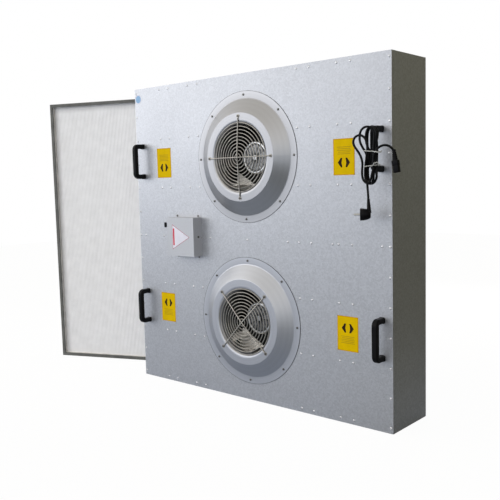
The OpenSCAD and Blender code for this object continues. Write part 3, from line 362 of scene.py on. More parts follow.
def lathe_group():
    """Rings that a spinning or turning tool leaves round the Y axis of the vector given."""
    tree, vector, density, result = new_group("Tool rings", "Ring Density", 900.0,
                                              ("Rings", "Bands"))
    radius = off_axis(tree, vector)
    tree.links.new(noise(tree, radius, density, 3.0), result["Rings"])
    tree.links.new(noise(tree, radius, 60.0, 2.0), result["Bands"])
    return tree


def grain_group():
    """Fine grain of moulded plastic or rubber, with rubbed patches."""
    tree, vector, density, result = new_group("Moulded grain", "Grain Density", 1500.0,
                                              ("Grain", "Rubbed"))
    tree.links.new(noise(tree, vector, density, 2.0), result["Grain"])
    tree.links.new(noise(tree, vector, 28.0, 4.0), result["Rubbed"])
    return tree


def sheet_metal(name, color, crystal_size, roughness, contrast=0.10, metallic=1.0):
    material, tree, shader = new_material(name, color, roughness, metallic)
    pattern = use_group(tree, spangle_group, {"Vector": object_coordinates(tree),
                                              "Crystal Size": crystal_size})
    crystals, smears = pattern["Crystals"], pattern["Smears"]
    clouded = mix_color(tree, spread(tree, smears, 0.0, 0.22),
                        tones(tree, crystals, color, contrast), shifted(color, 0.82))
    tree.links.new(clouded, shader.inputs["Base Color"])
    tree.links.new(spread(tree, calculated(tree, "ADD", crystals, smears), roughness - 0.14,
                          roughness + 0.02), shader.inputs["Roughness"])
    bump(tree, shader, crystals, 0.12, 0.0004)
    return material


def turned_metal(name, color, centre, roughness, ring_density=900.0):
    material, tree, shader = new_material(name, color, roughness, 1.0)
    marks = use_group(tree, lathe_group, {"Vector": object_coordinates(tree, centre),
                                          "Ring Density": ring_density})
    both = add_node(tree, "ShaderNodeMix", {"Factor": 0.5, "A": marks["Rings"],
                                            "B": marks["Bands"]})
    tree.links.new(tones(tree, both.outputs["Result"], color, 0.08, 0.3, 0.7),
                   shader.inputs["Base Color"])
    tree.links.new(spread(tree, marks["Rings"], roughness - 0.06, roughness + 0.08),
                   shader.inputs["Roughness"])
    bump(tree, shader, marks["Rings"], 0.25, 0.00008)
    return material


def moulded(name, color, roughness, grain_density=1500.0, depth=0.00006, metallic=0.0,
            contrast=0.2, **sockets):
    material, tree, shader = new_material(name, color, roughness, metallic, **sockets)
    marks = use_group(tree, grain_group, {"Vector": object_coordinates(tree),
                                          "Grain Density": grain_density})
    tree.links.new(tones(tree, marks["Rubbed"], color, contrast, 0.3, 0.75),
                   shader.inputs["Base Color"])
    tree.links.new(spread(tree, marks["Rubbed"], roughness + 0.08, roughness - 0.08),
                   shader.inputs["Roughness"])
    bump(tree, shader, marks["Grain"], 0.2, depth)
    return material


def surface_normal(tree):
    return add_node(tree, "ShaderNodeTexCoord").outputs["Normal"]


def facing_front(tree, low=0.85, high=0.97):
    """How nearly a surface faces straight forwards or backwards."""
    along = separated(tree, surface_normal(tree))[1]
    return between(tree, calculated(tree, "ABSOLUTE", along), low, high)


def retouch(material, factor, color, blend="MIX"):
    """Lays another colour over a material's base colour where the factor is 1."""
    tree = material.node_tree
    socket = tree.nodes["Principled BSDF"].inputs["Base Color"]
    below = socket.links[0].from_socket
    tree.links.new(mix_color(tree, factor, below, color, blend), socket)


def spun_cone_metal(level, centre, outer):
    """Spun sheet with painted light and shade on its flat ring, lip and outer edge."""
    # Painted light: the two cones' colours, and the tone laid on their flat faces, differ for how
    # each cone is lit.
    color, flat, roughness = {"upper": ((0.53, 0.53, 0.54), (0.88, 0.88, 0.89), 0.38),
                              "lower": ((0.59, 0.60, 0.63), (1.04, 1.04, 1.05), 0.46)}[level]
    material = turned_metal(f"Spun sheet {level}", color, centre, roughness)
    tree = material.node_tree
    # Painted shade on the upper cone's flat ring and lip, and a slight painted lightening on the
    # lower cone's.
    retouch(material, facing_front(tree), flat, "MULTIPLY")
    # Painted shadow: a thin dark line at the flange's outer edge, where it stands on the panel.
    radius = off_axis(tree, object_coordinates(tree, centre))
    edge = between(tree, radius, outer - 1.7 * MM, outer - 0.7 * MM)
    retouch(material, edge, (0.10, 0.10, 0.10))
    return material


def rotor_metal_painted_highlights(level, centre, outer):
    """Painted highlights on hub, rim and streaks over a darker face, with painted dark rings."""
    material, tree, shader = new_material(f"Turned aluminium {level}", (0.7, 0.7, 0.7), 0.24, 1.0)
    place = object_coordinates(tree, centre)
    part = calculated(tree, "DIVIDE", off_axis(tree, place), outer)
    # Painted highlights on the hub and rim, and painted shade in the dark rings that set them off.
    rings = ramp(tree, part, ((0.0, 1.0), (0.12, 1.0), (0.16, 0.06), (0.36, 0.34), (0.60, 0.40),
                              (0.715, 0.06), (0.735, 1.0), (1.0, 1.0)))
    x, _, z = separated(tree, place)
    streaks = noise(tree, calculated(tree, "ARCTAN2", z, x), 4.5, 4.0)
    # Painted highlights: streaks from the middle outwards lighten the face inside the rim.
    painted_streak_highlights = ramp(tree, streaks, ((0.43, 0.30), (0.57, 1.0)))
    tree.links.new(mix_color(tree, calculated(tree, "LESS_THAN", part, 0.71), rings,
                             mix_color(tree, 1.0, rings, painted_streak_highlights, "MULTIPLY")),
                   shader.inputs["Base Color"])
    tree.links.new(spread(tree, streaks, 0.22, 0.42), shader.inputs["Roughness"])
    return material


def impeller_metal(level, centre):
    """Paler blades between plates in painted shade, and a painted highlight on one blade."""
    material = turned_metal(f"Impeller sheet {level}", (0.42, 0.41, 0.39), centre, 0.40, 500.0)
    tree = material.node_tree
    # Painted shade: faces turned forwards or backwards, the plates, are darkened nearly to black
    # for the shadow inside the casing.
    retouch(material, facing_front(tree, 0.4, 0.7), (0.03, 0.029, 0.027))
    place = object_coordinates(tree, centre)
    # Painted highlight: a fixed patch low on one blade is made pale and not metallic, for a blade
    # catching the light.
    low = vector_math(tree, "DOT_PRODUCT", place, (-0.5, 0, -0.87))
    side = vector_math(tree, "DOT_PRODUCT", place, (0.95, 0, -0.3))
    bright = calculated(tree, "MULTIPLY", between(tree, low, 0.098, 0.100),
                        between(tree, side, -0.088, -0.085))
    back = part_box(f"impeller_{level}")[1].y
    before = calculated(tree, "LESS_THAN", separated(tree, place)[1], back - 0.5 * MM)
    bright = calculated(tree, "MULTIPLY", bright, before)
    retouch(material, bright, (0.95, 0.92, 0.87))
    tree.links.new(spread(tree, bright, 1.0, 0.1), tree.nodes["Principled BSDF"].inputs["Metallic"])
    return material


def filter_paper():
    """Pale paper, greyer where the frame's lip shades it."""
    material = moulded("Filter paper", tuple(settings().paper_color), 0.9, 700.0, 0.0002,
                       contrast=0.04)
    tree = material.node_tree
    place = object_coordinates(tree)
    run = vector_math(tree, "DOT_PRODUCT", place, FILTER_ALONG)
    height = separated(tree, place)[2]
    start = FILTER_START + PAPER_MARGIN
    shade_width = 0.028
    for value, edge, way in ((run, start, 1), (run, start + PAPER_WIDTH, -1),
                             (height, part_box("filter_media")[1].z, -1)):
        near = between(tree, value, edge + way * shade_width, edge)
        retouch(material, near, (0.74, 0.73, 0.73), "MULTIPLY")
    return material


def filter_frame_metal():
    """Folded metal, paler on the inward faces of its free upright."""
    material = moulded("Filter extrusion", (0.50, 0.50, 0.48), 0.5, 1200.0, 0.00004, metallic=0.5)
    tree = material.node_tree
    inwards = vector_math(tree, "DOT_PRODUCT", surface_normal(tree), FILTER_ALONG)
    run = vector_math(tree, "DOT_PRODUCT", object_coordinates(tree), FILTER_ALONG)
    pale_inward_faces = calculated(tree, "MULTIPLY", between(tree, inwards, 0.8, 0.95),
                      between(tree, run, FILTER_START + 0.03, FILTER_START + 0.02))
    retouch(material, pale_inward_faces, (0.80, 0.79, 0.77))
    return material


# ---------- places of the small solids in a node ----------


def solids(name):
    """The boxes of a node's separate solids, as pairs of low and high corners."""
    mesh = bmesh.new()
    mesh.from_mesh(nodes[name].data)
    bmesh.ops.remove_doubles(mesh, verts=mesh.verts, dist=1e-6)
    left = set(mesh.verts)
    boxes = []
    while left:
        found = [left.pop()]
        reached = list(found)
        while found:
            for edge in found.pop().link_edges:
                for vert in edge.verts:
                    if vert in left:
                        left.remove(vert)
                        found.append(vert)
                        reached.append(vert)
        boxes.append(tuple(Vector([end(v.co[i] for v in reached) for i in range(3)])
                           for end in (min, max)))
    mesh.free()
    return sorted(boxes, key=lambda box: tuple(box[0]))


# ---------- settings ----------


class UnitSettings(bpy.types.PropertyGroup):
    guard_diameter: bpy.props.FloatProperty(
        name="Guard diameter", description="Diameter of the guard's outer ring",
        default=0.240, unit="LENGTH")
    guard_pitch: bpy.props.FloatProperty(
        name="Guard ring pitch", description="Distance from one ring to the next",
        default=0.0119, unit="LENGTH")
    guard_rings: bpy.props.IntProperty(
        name="Guard rings", description="Number of rings in a guard", default=10, min=1)
    guard_dome: bpy.props.FloatProperty(
        name="Guard dome", description="How far the guard's middle stands in front of its rim",
        default=0.008, unit="LENGTH")
    ring_wire: bpy.props.FloatProperty(
        name="Ring wire", description="Diameter of the rings' wire", default=0.003, unit="LENGTH")
    arm_wire: bpy.props.FloatProperty(
        name="Arm wire", description="Diameter of the arms' wire", default=0.004, unit="LENGTH")
    lip_rise: bpy.props.FloatProperty(
        name="Lip rise", description="How far the cone's lip stands in front of the panel",
        default=0.033, unit="LENGTH")
    foot_circle: bpy.props.FloatProperty(
        name="Guard screw circle", description="Diameter of the circle of the guard's screws",
        default=0.2865, unit="LENGTH")
    cord_diameter: bpy.props.FloatProperty(
        name="Cord diameter", description="Diameter of the mains lead", default=0.007,
        unit="LENGTH")
    pleat_pitch: bpy.props.FloatProperty(
        name="Pleat pitch", description="Distance from one fold of the paper to the next",
        default=0.007, unit="LENGTH")
    sheet_color: bpy.props.FloatVectorProperty(
        name="Sheet colour", description="Colour of the casing's galvanised sheet",
        default=(0.60, 0.61, 0.64), subtype="COLOR")
    wire_color: bpy.props.FloatVectorProperty(
        name="Wire colour", description="Colour of the guards' wire",
        default=(0.56, 0.53, 0.48), subtype="COLOR")
    paper_color: bpy.props.FloatVectorProperty(
        name="Paper colour", description="Colour of the filter's paper",
        default=(0.87, 0.86, 0.855), subtype="COLOR")
    plate_color: bpy.props.FloatVectorProperty(
        name="Plate colour", description="Colour of the plates on the panel",
        default=(0.66, 0.44, 0.0), subtype="COLOR")
    key_power: bpy.props.FloatProperty(
        name="Key light", description="Power of the light in front", default=11.0, unit="POWER")
    back_power: bpy.props.FloatProperty(
        name="Back light", description="Power of the light behind", default=26.0, unit="POWER")
    fill_level: bpy.props.FloatProperty(
        name="Studio level", description="Brightness of the studio round the unit", default=1.3)


def settings():
    return bpy.context.scene.unit_settings_ffu


# ---------- wires and tubes ----------


def smooth_path(points, steps=6):
    """Points on a smooth curve through the points given, however unevenly they are spaced."""
    ends = [2 * points[0] - points[1], *points, 2 * points[-1] - points[-2]]
    path = []
    for a, b, c, d in zip(ends, ends[1:], ends[2:], ends[3:]):
        first = (b - a).length ** 0.5
        second = first + (c - b).length ** 0.5
        third = second + (d - c).length ** 0.5
        for i in range(steps):
            part = i / steps
            t = first + (second - first) * part
            middle = b.lerp(c, part)
            before = a.lerp(b, t / first).lerp(middle, t / second)
            after = middle.lerp(c.lerp(d, (t - second) / (third - second)),
                                (t - first) / (third - first))
            path.append(before.lerp(after, part))
    return [*path, points[-1]]


def relaxed(path, spacing, passes):
    """The path with evenly spaced points and its tightest bends eased."""
    points, left = [path[0]], spacing
    for a, b in zip(path, path[1:]):
        run = (b - a).length
        done = 0.0
        while run - done >= left:
            done += left
            points.append(a.lerp(b, done / run))
            left = spacing
        left -= run - done
    points.append(path[-1])
    for _ in range(passes):
        inner = [(a + 2 * b + c) / 4 for a, b, c in zip(points, points[1:], points[2:])]
        points = [points[0], *inner, points[-1]]
    return points


def wire(name, points, diameter, closed=False, resolution=4, thickness=()):
    """A round wire along the points, as a curve; thickness scales it at each point."""
    obj = line_curve(name, points, closed, bevel_depth=diameter / 2, bevel_resolution=resolution,
                     use_fill_caps=True)
    for place, radius in zip(obj.data.splines[0].points, thickness):
        place.radius = radius
    return obj


def wire_mesh(name, points, diameter, closed=False, resolution=2, thickness=()):
    return to_mesh(wire(name, points, diameter, closed, resolution, thickness))


# ---------- finishes of the construction nodes ----------


WALLS = ("left_wall", "right_wall", "top_wall", "bottom_wall")
HANDLES = tuple(f"handle_{level}_{side}" for level in fans for side in ("left", "right"))
LEAD = ("lead_hank", "lead_loop", "lead_connector_tail", "lead_plug_tail")

# Each plain finish: its name, colour and roughness, the density and depth of its grain where they
# are not the usual ones, its other values and the nodes that have it.
PLAIN_FINISHES = (
    ("Zinc plate", (0.22, 0.215, 0.20), 0.34, (3000.0, 0.00002), {"metallic": 1.0},
     ("bracket_spacers", "bracket_screws", "motor_screws", "handle_screws",
      "impeller_screws_upper", "impeller_screws_lower", "cone_screws", "guard_screws",
      "box_screws")),
    ("Rivet aluminium", (0.86, 0.86, 0.88), 0.24, (3000.0, 0.00002), {"metallic": 0.6},
     ("panel_rivets",)),
    ("Cast aluminium", (0.55, 0.55, 0.56), 0.5, (900.0, 0.0001), {"metallic": 1.0},
     ("motor_housing_upper", "motor_housing_lower")),
    ("Sintered magnet", (0.12, 0.12, 0.13), 0.5, (), {},
     ("magnets_upper", "magnets_lower")),
    ("Copper winding", (0.45, 0.24, 0.12), 0.4, (600.0, 0.0003), {"metallic": 0.8},
     ("stator_upper", "stator_lower")),
    ("Cable jacket", (0.005, 0.005, 0.006), 0.42, (900.0, 0.00005), {"Specular_IOR_Level": 0.16},
     ("motor_cable_upper", "motor_cable_lower", *LEAD)),
    ("Black plastic", (0.006, 0.006, 0.007), 0.40, (1800.0, 0.00004), {"Specular_IOR_Level": 0.10},
     ("mains_inlet", "cable_grommet", "blanking_plug", *HANDLES, "lead_connector", "lead_plug")),
    ("Board lacquer", (0.02, 0.12, 0.05), 0.3, (), {}, ("circuit_board",)),
    ("Terminal plastic", (0.7, 0.7, 0.66), 0.5, (), {}, ("terminal_block",)),
    ("Tie wire", (0.5, 0.5, 0.48), 0.5, (), {}, ("lead_ties",)),
    ("Foam lining", (0.05, 0.05, 0.055), 0.95, (400.0, 0.0008), {}, ("wall_lining",)),
    ("Sealing compound", (0.62, 0.60, 0.56), 0.6, (), {}, ("filter_potting",)),
    ("Gasket foam", (0.125, 0.125, 0.115), 0.8, (600.0, 0.0003), {}, ("filter_gasket",)),
)


def finish_all_nodes():
    s = settings()
    finish_nodes(sheet_metal("Galvanised sheet", tuple(s.sheet_color), 0.005, 0.46, contrast=0.17,
                             metallic=0.8), "front_panel", *WALLS, "outlet_frame")
    finish_nodes(sheet_metal("Inner galvanised sheet", (0.52, 0.53, 0.55), 0.005, 0.45),
                 "panel_rails", "mid_divider", "motor_bracket_upper", "motor_bracket_lower")
    finish_nodes(sheet_metal("Box sheet", (0.60, 0.61, 0.64), 0.002, 0.60, contrast=0.05,
                             metallic=0.6), "box_base", "box_cover")
    for name, color, roughness, grain, others, dressed in PLAIN_FINISHES:
        finish_nodes(moulded(name, color, roughness, *grain, **others), *dressed)
    finish_nodes(moulded("Guard wire", tuple(s.wire_color), 0.40, 2500.0, 0.00003, metallic=0.9),
                 "guard_upper", "guard_lower")
    for level, z in fans.items():
        centre = (0, 0, z)
        for name, build in (("inlet_cone", spun_cone_metal), ("rotor", rotor_metal_painted_highlights)):
            low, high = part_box(f"{name}_{level}")
            finish_nodes(build(level, centre, (high.x - low.x) / 2), f"{name}_{level}")
        finish_nodes(impeller_metal(level, centre), f"impeller_{level}")
    finish_nodes(turned_metal("Bearing steel", (0.6, 0.6, 0.61), (0, 0, 0), 0.2),
                 "motor_bearings")
    finish_nodes(filter_frame_metal(), "filter_frame")
    finish_nodes(filter_paper(), "filter_media")


def soften_edges():
    """Folded and moulded edges catch a line of light."""
    for width, names in ((0.9, ("front_panel", "box_cover", *WALLS)), (1.6, HANDLES)):
        for name in names:
            modifier = nodes[name].modifiers.new("Softened edges", "BEVEL")
            modifier.width = width * MM
            modifier.segments = 2
            modifier.limit_method = "ANGLE"
            modifier.angle_limit = math.radians(50)


# ---------- wire guards ----------


def guard(name, z, first_arm):
    """A domed guard: rings welded behind four arms whose ends are pressed flat."""
    s = settings()
    rim, foot = s.guard_diameter / 2, s.foot_circle / 2
    melted = 0.6 * MM
    lift = (s.ring_wire + s.arm_wire) / 2 - melted
    lip_y = face_y - s.lip_rise
    arm_y = lip_y - s.arm_wire / 2

    def ring_y(radius):
        return arm_y + lift - s.guard_dome * (1 - radius / rim)

    parts = []
    for i in range(s.guard_rings):
        radius = rim - i * s.guard_pitch
        deselect()
        bpy.ops.mesh.primitive_torus_add(
            location=(0, ring_y(radius), z), rotation=(math.pi / 2, 0, 0), major_radius=radius,
            minor_radius=s.ring_wire / 2, major_segments=96, minor_segments=10)
        parts.append(settle(fresh("ring")))
    for i in range(4):
        angle = math.radians(first_arm + 90 * i)
        out = Vector((math.cos(angle), 0, math.sin(angle)))
        line = ((0, ring_y(0) - lift), (rim / 2, ring_y(rim / 2) - lift), (rim - 2 * MM, arm_y),
                (rim + 3 * MM, arm_y), (foot - 5 * MM, arm_y))
        points = [Vector((0, y, z)) + out * radius for radius, y in line]
        parts.append(wire_mesh("arm", points, s.arm_wire))
        parts.append(cylinder("foot", 28, 6.5 * MM, 1.5 * MM,
                              Vector((0, lip_y - 0.75 * MM, z)) + out * foot))
    return shade(join(parts, name), 40)


# ---------- screws and rivets ----------


def pan_screw(name, head_d, head_h, shank_d, shank_l):
    """A pan-head screw along Y with its head's seat at y = 0 and a cross recess."""
    head = cylinder("head", 24, head_d / 2, head_h, (0, -head_h / 2, 0))
    bpy.ops.object.mode_set(mode="EDIT")
    bpy.ops.mesh.select_all(action="DESELECT")
    bpy.ops.object.mode_set(mode="OBJECT")
    for edge in head.data.edges:
        edge.select = all(head.data.vertices[i].co.y < -head_h * 0.9 for i in edge.vertices)
    bpy.ops.object.mode_set(mode="EDIT")
    bpy.ops.mesh.select_mode(type="EDGE")
    bpy.ops.mesh.bevel(offset=head_h * 0.55, segments=4, profile=0.5)
    bpy.ops.object.mode_set(mode="OBJECT")
    arms = [cuboid("recess", (head_d * wide, head_h * 1.3, head_d * high), (0, -head_h, 0))
            for wide, high in ((0.52, 0.13), (0.13, 0.52))]
    for arm in arms:
        apply_modifier(head, "BOOLEAN", object=arm, operation="DIFFERENCE")
        bpy.data.objects.remove(arm)
    sunk = head_h * 0.02
    shank = cylinder("shank", 12, shank_d / 2, shank_l, (0, shank_l / 2 - sunk, 0))
    return join([head, shank], name)


def along_y(place, turn=0.0):
    """The matrix that moves something to a place after turning it about Y."""
    return Matrix.Translation(place) @ Matrix.Rotation(turn, 4, "Y")


def screws_for(name, head_d, head_h, shank_d):
    """Screws in the places of a node's solids, each facing the way its solid does."""
    turn_from_last = 1.1
    places = []
    for count, (low, high) in enumerate(solids(name)):
        size, middle = high - low, (low + high) / 2
        turn = count * turn_from_last
        if size.y >= size.x:
            places.append(along_y(Vector((middle.x, low.y + head_h, middle.z)), turn))
            length = size.y - head_h
        else:
            places.append(Matrix.Translation((high.x - head_h, middle.y, middle.z))
                          @ Matrix.Rotation(math.pi / 2, 4, "Z") @ Matrix.Rotation(turn, 4, "Y"))
    model = pan_screw(f"{name}_finished", head_d, head_h, shank_d, length)
    return shade(join(copies(model, places), f"{name}_finished"))


def blind_rivets():
    """Domed rivet heads, each with the dimple of its pulled stem."""
    head_r, head_h, edge_h, dimple_r = 4.0, 1.8, 0.35, 1.3
    profile = [(head_r, 0.0), (head_r, edge_h)]
    for i in range(1, 6):
        angle = math.radians(18 * i)
        profile.append((dimple_r + (head_r - dimple_r) * math.cos(angle),
                        edge_h + (head_h - edge_h) * math.sin(angle)))
    profile += [(1.2, 0.9), (0.0, 0.8)]
    model = to_mesh(line_curve("rivet", [(r * MM, -h * MM, 0) for r, h in profile]))
    apply_modifier(model, "SCREW", axis="Y", steps=16, render_steps=16, use_merge_vertices=True,
                   merge_threshold=0.01 * MM)
    bpy.ops.object.mode_set(mode="EDIT")
    bpy.ops.mesh.select_all(action="SELECT")
    bpy.ops.mesh.normals_make_consistent(inside=False)
    bpy.ops.object.mode_set(mode="OBJECT")
    places = [along_y(Vector(((low.x + high.x) / 2, face_y, (low.z + high.z) / 2)))
              for low, high in solids("panel_rivets")]
    return shade(join(copies(model, places), "panel_rivets_finished"), 50)


# ---------- mains lead ----------


def fold(start, end, z, rise, count=10):
    """Half a turn between two runs given as x and depth, rising or falling from a height."""
    points = []
    for i in range(count + 1):
        angle = math.pi * i / count
        x, depth = Vector(start).lerp(end, (1 - math.cos(angle)) / 2)
        points.append(at(x, depth, z + rise * math.sin(angle)))
    return points


def places_at(*points):
    return [at(*point) for point in points]


# Each turn of the hank: the right and left runs of its low fold as x and depth, the height from
# which it falls and how far; its left run at the ties; the left and right runs of its high fold,
# the height from which it rises and how far; and its right run at the ties.
TURNS = (((573, -81), (536, -52), 805, -22, (551, -70), (538, -57), (580, -77), 927, 21.5,
          (575, -66)),
         ((579, -75), (534, -61), 804, -23, (556, -67), (537, -64), (580, -67), 929, 21.5,
          (572, -71)),
         ((571, -90), (533, -65), 807, -21, (548, -78), (527, -82), (571, -72), 928, 22,
          (568, -75)))


def lead_path():
    """The lead from its connector, round the hank's turns and the loose loop, to the plug."""
    path = places_at((627, -50, 848), (624.5, -50, 864), (622, -50.5, 876), (617, -53, 885),
                     (610, -58, 891), (602, -64, 894), (594, -70, 892.5), (586, -76, 887),
                     (579, -80, 878), (574, -81, 866), (571.5, -80, 853), (571.5, -81, 838),
                     (572, -80.5, 822))
    for low_right, low_left, low, fall, left, high_left, high_right, high, rise, right in TURNS:
        path += fold(low_right, low_left, low, fall)
        path += [at(left[0] - 4, left[1], 846), at(*left, 868),
                 at((left[0] + high_left[0]) / 2 - 2, (left[1] + high_left[1]) / 2, 888),
                 at(high_left[0] - 0.5, high_left[1], 908)]
        path += fold(high_left, high_right, high, rise)
        path += [at(right[0] + 1, right[1], 884), at(*right, 844)]
    path += fold((575, -66), (533, -80), 803, -22)
    path += places_at((533.5, -82, 822), (537, -84, 840), (535, -86, 857), (527.5, -86, 871),
                      (518, -85, 883), (508.5, -84, 894), (503.5, -83, 906), (506.5, -82, 917.5),
                      (516, -82, 924.5), (528, -83, 926), (540, -84, 922), (549, -85, 912),
                      (553.5, -85, 898), (554.5, -85, 883), (551, -83, 867), (544, -76, 850),
                      (539, -67, 828), (535, -58, 806), (533, -53, 789), (533, -52, 774),
                      (535, -53, 760), (537.5, -55, 746), (538.5, -56, 733))
    return relaxed(smooth_path(path), 3 * MM, 10)


def lead_ties():
    """Two turns of soft wire round the hank, each with its ends twisted together."""
    ties = []
    for z, lean, end in ((877, -4, ((586, -88, 874), (593, -84, 872), (599, -77, 876))),
                         (834, 4, ((580, -90, 841), (587, -86, 843), (594, -80, 837)))):
        loop = [at(x, depth, z + lean * (x - 562) / 36)
                for x, depth in ((541, -62), (541, -76), (545, -88), (556, -91), (568, -88),
                                 (578, -80), (582, -68), (581, -57), (576, -53), (562, -53),
                                 (548, -55))]
        ties.append(wire_mesh("tie", smooth_path([*loop, loop[0]], 4)[:-1], 2.6 * MM, True))
        tail = smooth_path(places_at((574, -87, z + lean / 3), *end), 5)
        ties.append(wire_mesh("tie end", tail, 2.4 * MM))
        twist = [p + Vector((0, -1.2, 1.6)) * MM * math.cos(i * 1.3) for i, p in enumerate(tail)]
        ties.append(wire_mesh("tie end", twist, 2.2 * MM))
    return shade(join(ties, "lead_ties_finished"), 50)


def moulded_block(name, size, place, turn, edge):
    """A block with rounded edges, leaning by a turn about Y."""
    block = cuboid(name, [v * MM for v in size])
    apply_modifier(block, "BEVEL", width=edge * MM, segments=3)
    block.data.transform(along_y(at(*place), turn))
    return block


def lead_connector():
    """The moulded appliance connector with a ribbed relief."""
    lean = math.radians(-8.7)
    down = Vector((math.sin(-lean), 0, -math.cos(lean)))
    top = at(622, -50, 880)
    steps = 34
    line = [top + down * i * MM for i in range(steps + 1)]
    widths = [4.4 + 3.4 * i / steps + (0.9 if i % 6 in (2, 3, 4) else 0.0)
              for i in range(steps + 1)]
    relief = wire_mesh("relief", line, 2 * MM, resolution=4, thickness=widths)
    grip = moulded_block("grip", (19.5, 15.5, 16), (628, -50, 841), lean, 2.2)
    nose = moulded_block("nose", (18, 14, 24), (630.5, -50, 824.5), lean, 1.6)
    return shade(join([relief, grip, nose], "lead_connector_finished"), 40)


def lead_plug():
    """The angled plug: a round body, a relief standing up from its back and two pins."""
    facing = Vector((-0.857, -0.515, 0))
    across = Vector((-facing.y, facing.x, 0))
    back = at(542, -58, 690)
    profile = ((-5, 8.5), (-3.5, 11.5), (0, 13.5), (6, 16.0), (11, 17.2), (14.5, 17.6), (15, 18.2),
               (26, 18.4), (27, 17.6))
    body = wire_mesh("body", [back + facing * s * MM for s, _ in profile], 2 * MM, resolution=8,
                     thickness=[r for _, r in profile])
    relief_top, relief_foot = at(538.5, -56, 737), at(542, -58, 694)
    steps = 20
    line = [relief_top.lerp(relief_foot, i / steps) for i in range(steps + 1)]
    relief = wire_mesh("relief", line, 2 * MM, resolution=4,
                       thickness=[3.9 + 3.2 * i / steps for i in range(steps + 1)])
    pins = []
    for side in (-9.5, 9.5):
        root = back + facing * 26.5 * MM + across * side * MM
        pins.append(wire_mesh("pin", [root, root + facing * 17.5 * MM, root + facing * 19 * MM],
                              2 * MM, resolution=3, thickness=[2.4, 2.4, 1.4]))
    return [shade(join(parts, name), 40)
            for parts, name in (([body, relief], "lead_plug_finished"), (pins, "lead_plug_pins"))]


# ---------- filter pleats ----------


def ribbon(name, points, height):
    """A sheet standing on a line of x and y points in metres."""
    return to_mesh(line_curve(name, [(x, y, 0) for x, y in points], dimensions="2D",
                              fill_mode="NONE", extrude=height / 2))


def pleat_pack():
    """The pleated paper with its folds pressed close together, seen on both faces."""
    low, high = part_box("filter_media")
    folds = round(PAPER_WIDTH / settings().pleat_pitch)
    pitch = PAPER_WIDTH / folds
    sheets = []
    for face, way in zip(PAPER_DEPTHS, (1, -1)):
        points = [((i + across) * pitch, (face + way * deep) * MM) for i in range(folds)
                  for across, deep in ((0.0, 3.0), (0.05, 0.9), (0.15, 0.3), (0.32, 0.1),
                                       (0.5, 0.0), (0.68, 0.1), (0.85, 0.3), (0.95, 0.9))]
        points.append((PAPER_WIDTH, (face + way * 3.0) * MM))
        sheets.append(ribbon("pleats", points, high.z - low.z))
    pack = join(sheets, "filter_media_finished")
    pack.data.transform(Matrix.Translation(FILTER_CORNER + Vector((0, 0, (low.z + high.z) / 2)))
                        @ Matrix.Rotation(FILTER_TURN, 4, "Z")
                        @ Matrix.Translation((FILTER_BACK + PAPER_MARGIN, 0, 0)))
    return shade(pack, 50)


# ---------- labels ----------


def flat_box(name, x, z, width, height, depth=0.0, thickness=0.25):
    """A thin box lying on the panel, with its back at the depth given."""
    return cuboid(name, (width * MM, thickness * MM, height * MM), at(x, depth - thickness / 2, z))


def flat_shape(name, outline, depth, thickness):
    """A thin plate with an outline of x and z pairs."""
    obj = to_mesh(line_curve(name, [(x * MM, z * MM, 0) for x, z in outline], True,
                             dimensions="2D", fill_mode="BOTH", extrude=thickness / 2 * MM))
    obj.data.transform(Matrix.Translation((0, face_y + (depth - thickness / 2) * MM, 0))
                       @ Matrix.Rotation(math.pi / 2, 4, "X"))
    return obj


LABEL_INKS = {"orange": (0.55, 0.27, 0.0), "olive": (0.42, 0.28, 0.01),
              "dark": (0.03, 0.018, 0.01), "white": (0.72, 0.71, 0.78), "red": (0.58, 0.03, 0.06),
              "rose": (0.42, 0.14, 0.17), "pale blue": (0.30, 0.47, 0.68)}

# Each plate's name, the x and z of its middle, and 1 upright or -1 upside down.
PLATES = (("plate_upper_left", -426.5, 876, 1), ("plate_upper_right", 416, 867, 1),
          ("plate_lower_left", -431, 301, -1), ("plate_lower_right", 423, 299, -1))
PLATE_WIDTH, PLATE_HEIGHT, PLATE_BORDER = 80, 115, 2.4
PLATE_FACE = -0.25
INK_THICKNESS = 0.04


def yellow_plate(name, x, z, way, inks):
    """A yellow plate with an orange border, faint bars and two arrowheads pointing outwards."""
    def printed(ink, *box):
        parts.append(coated(flat_box("print", *box, PLATE_FACE, INK_THICKNESS), inks[ink]))

    parts = [coated(flat_box("plate", x, z, PLATE_WIDTH, PLATE_HEIGHT), inks["yellow"])]
    for side in (-1, 1):
        printed("orange", x + side * 38.2, z, PLATE_BORDER, PLATE_HEIGHT - 1)
        printed("orange", x, z + side * 55.8, PLATE_WIDTH - 1, PLATE_BORDER)
    for i, wide in enumerate((52, 48, 52, 44, 50)):
        printed("olive", x, z + way * (31 - 5.4 * i), wide, 2.2)
    mid = z - way * 18
    for side in (-1, 1):
        outline = [(x + side * out, mid + up) for out, up in ((23, 0), (12, 15), (6, 15), (9, 0),
                                                              (6, -15), (12, -15))]
        parts.append(coated(flat_shape("arrow", outline, PLATE_FACE, 0.05), inks["dark"]))
    return join(parts, name)


def triangle_sticker(inks):
    """A sticker on the box's cover: a white triangle with a rose border and a red stripe."""
    face = (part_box("box_cover")[0].y - face_y) / MM
    left, right, low, high = -346, -252, 542, 639
    middle = (low + high) / 2
    border = flat_shape("border", [(left, low), (right, middle), (left, high)], face, 0.2)
    inner = [(left + 1.6, low + 2.8), (right - 3.6, middle), (left + 1.6, high - 2.8)]
    field = flat_shape("field", inner, face - 0.2, INK_THICKNESS)
    stripe = flat_box("stripe", left + 8, middle, 7.5, high - low - 32, face - 0.24,
                      INK_THICKNESS)
    return join([coated(border, inks["rose"]), coated(field, inks["white"]),
                 coated(stripe, inks["red"])], "triangle_sticker")


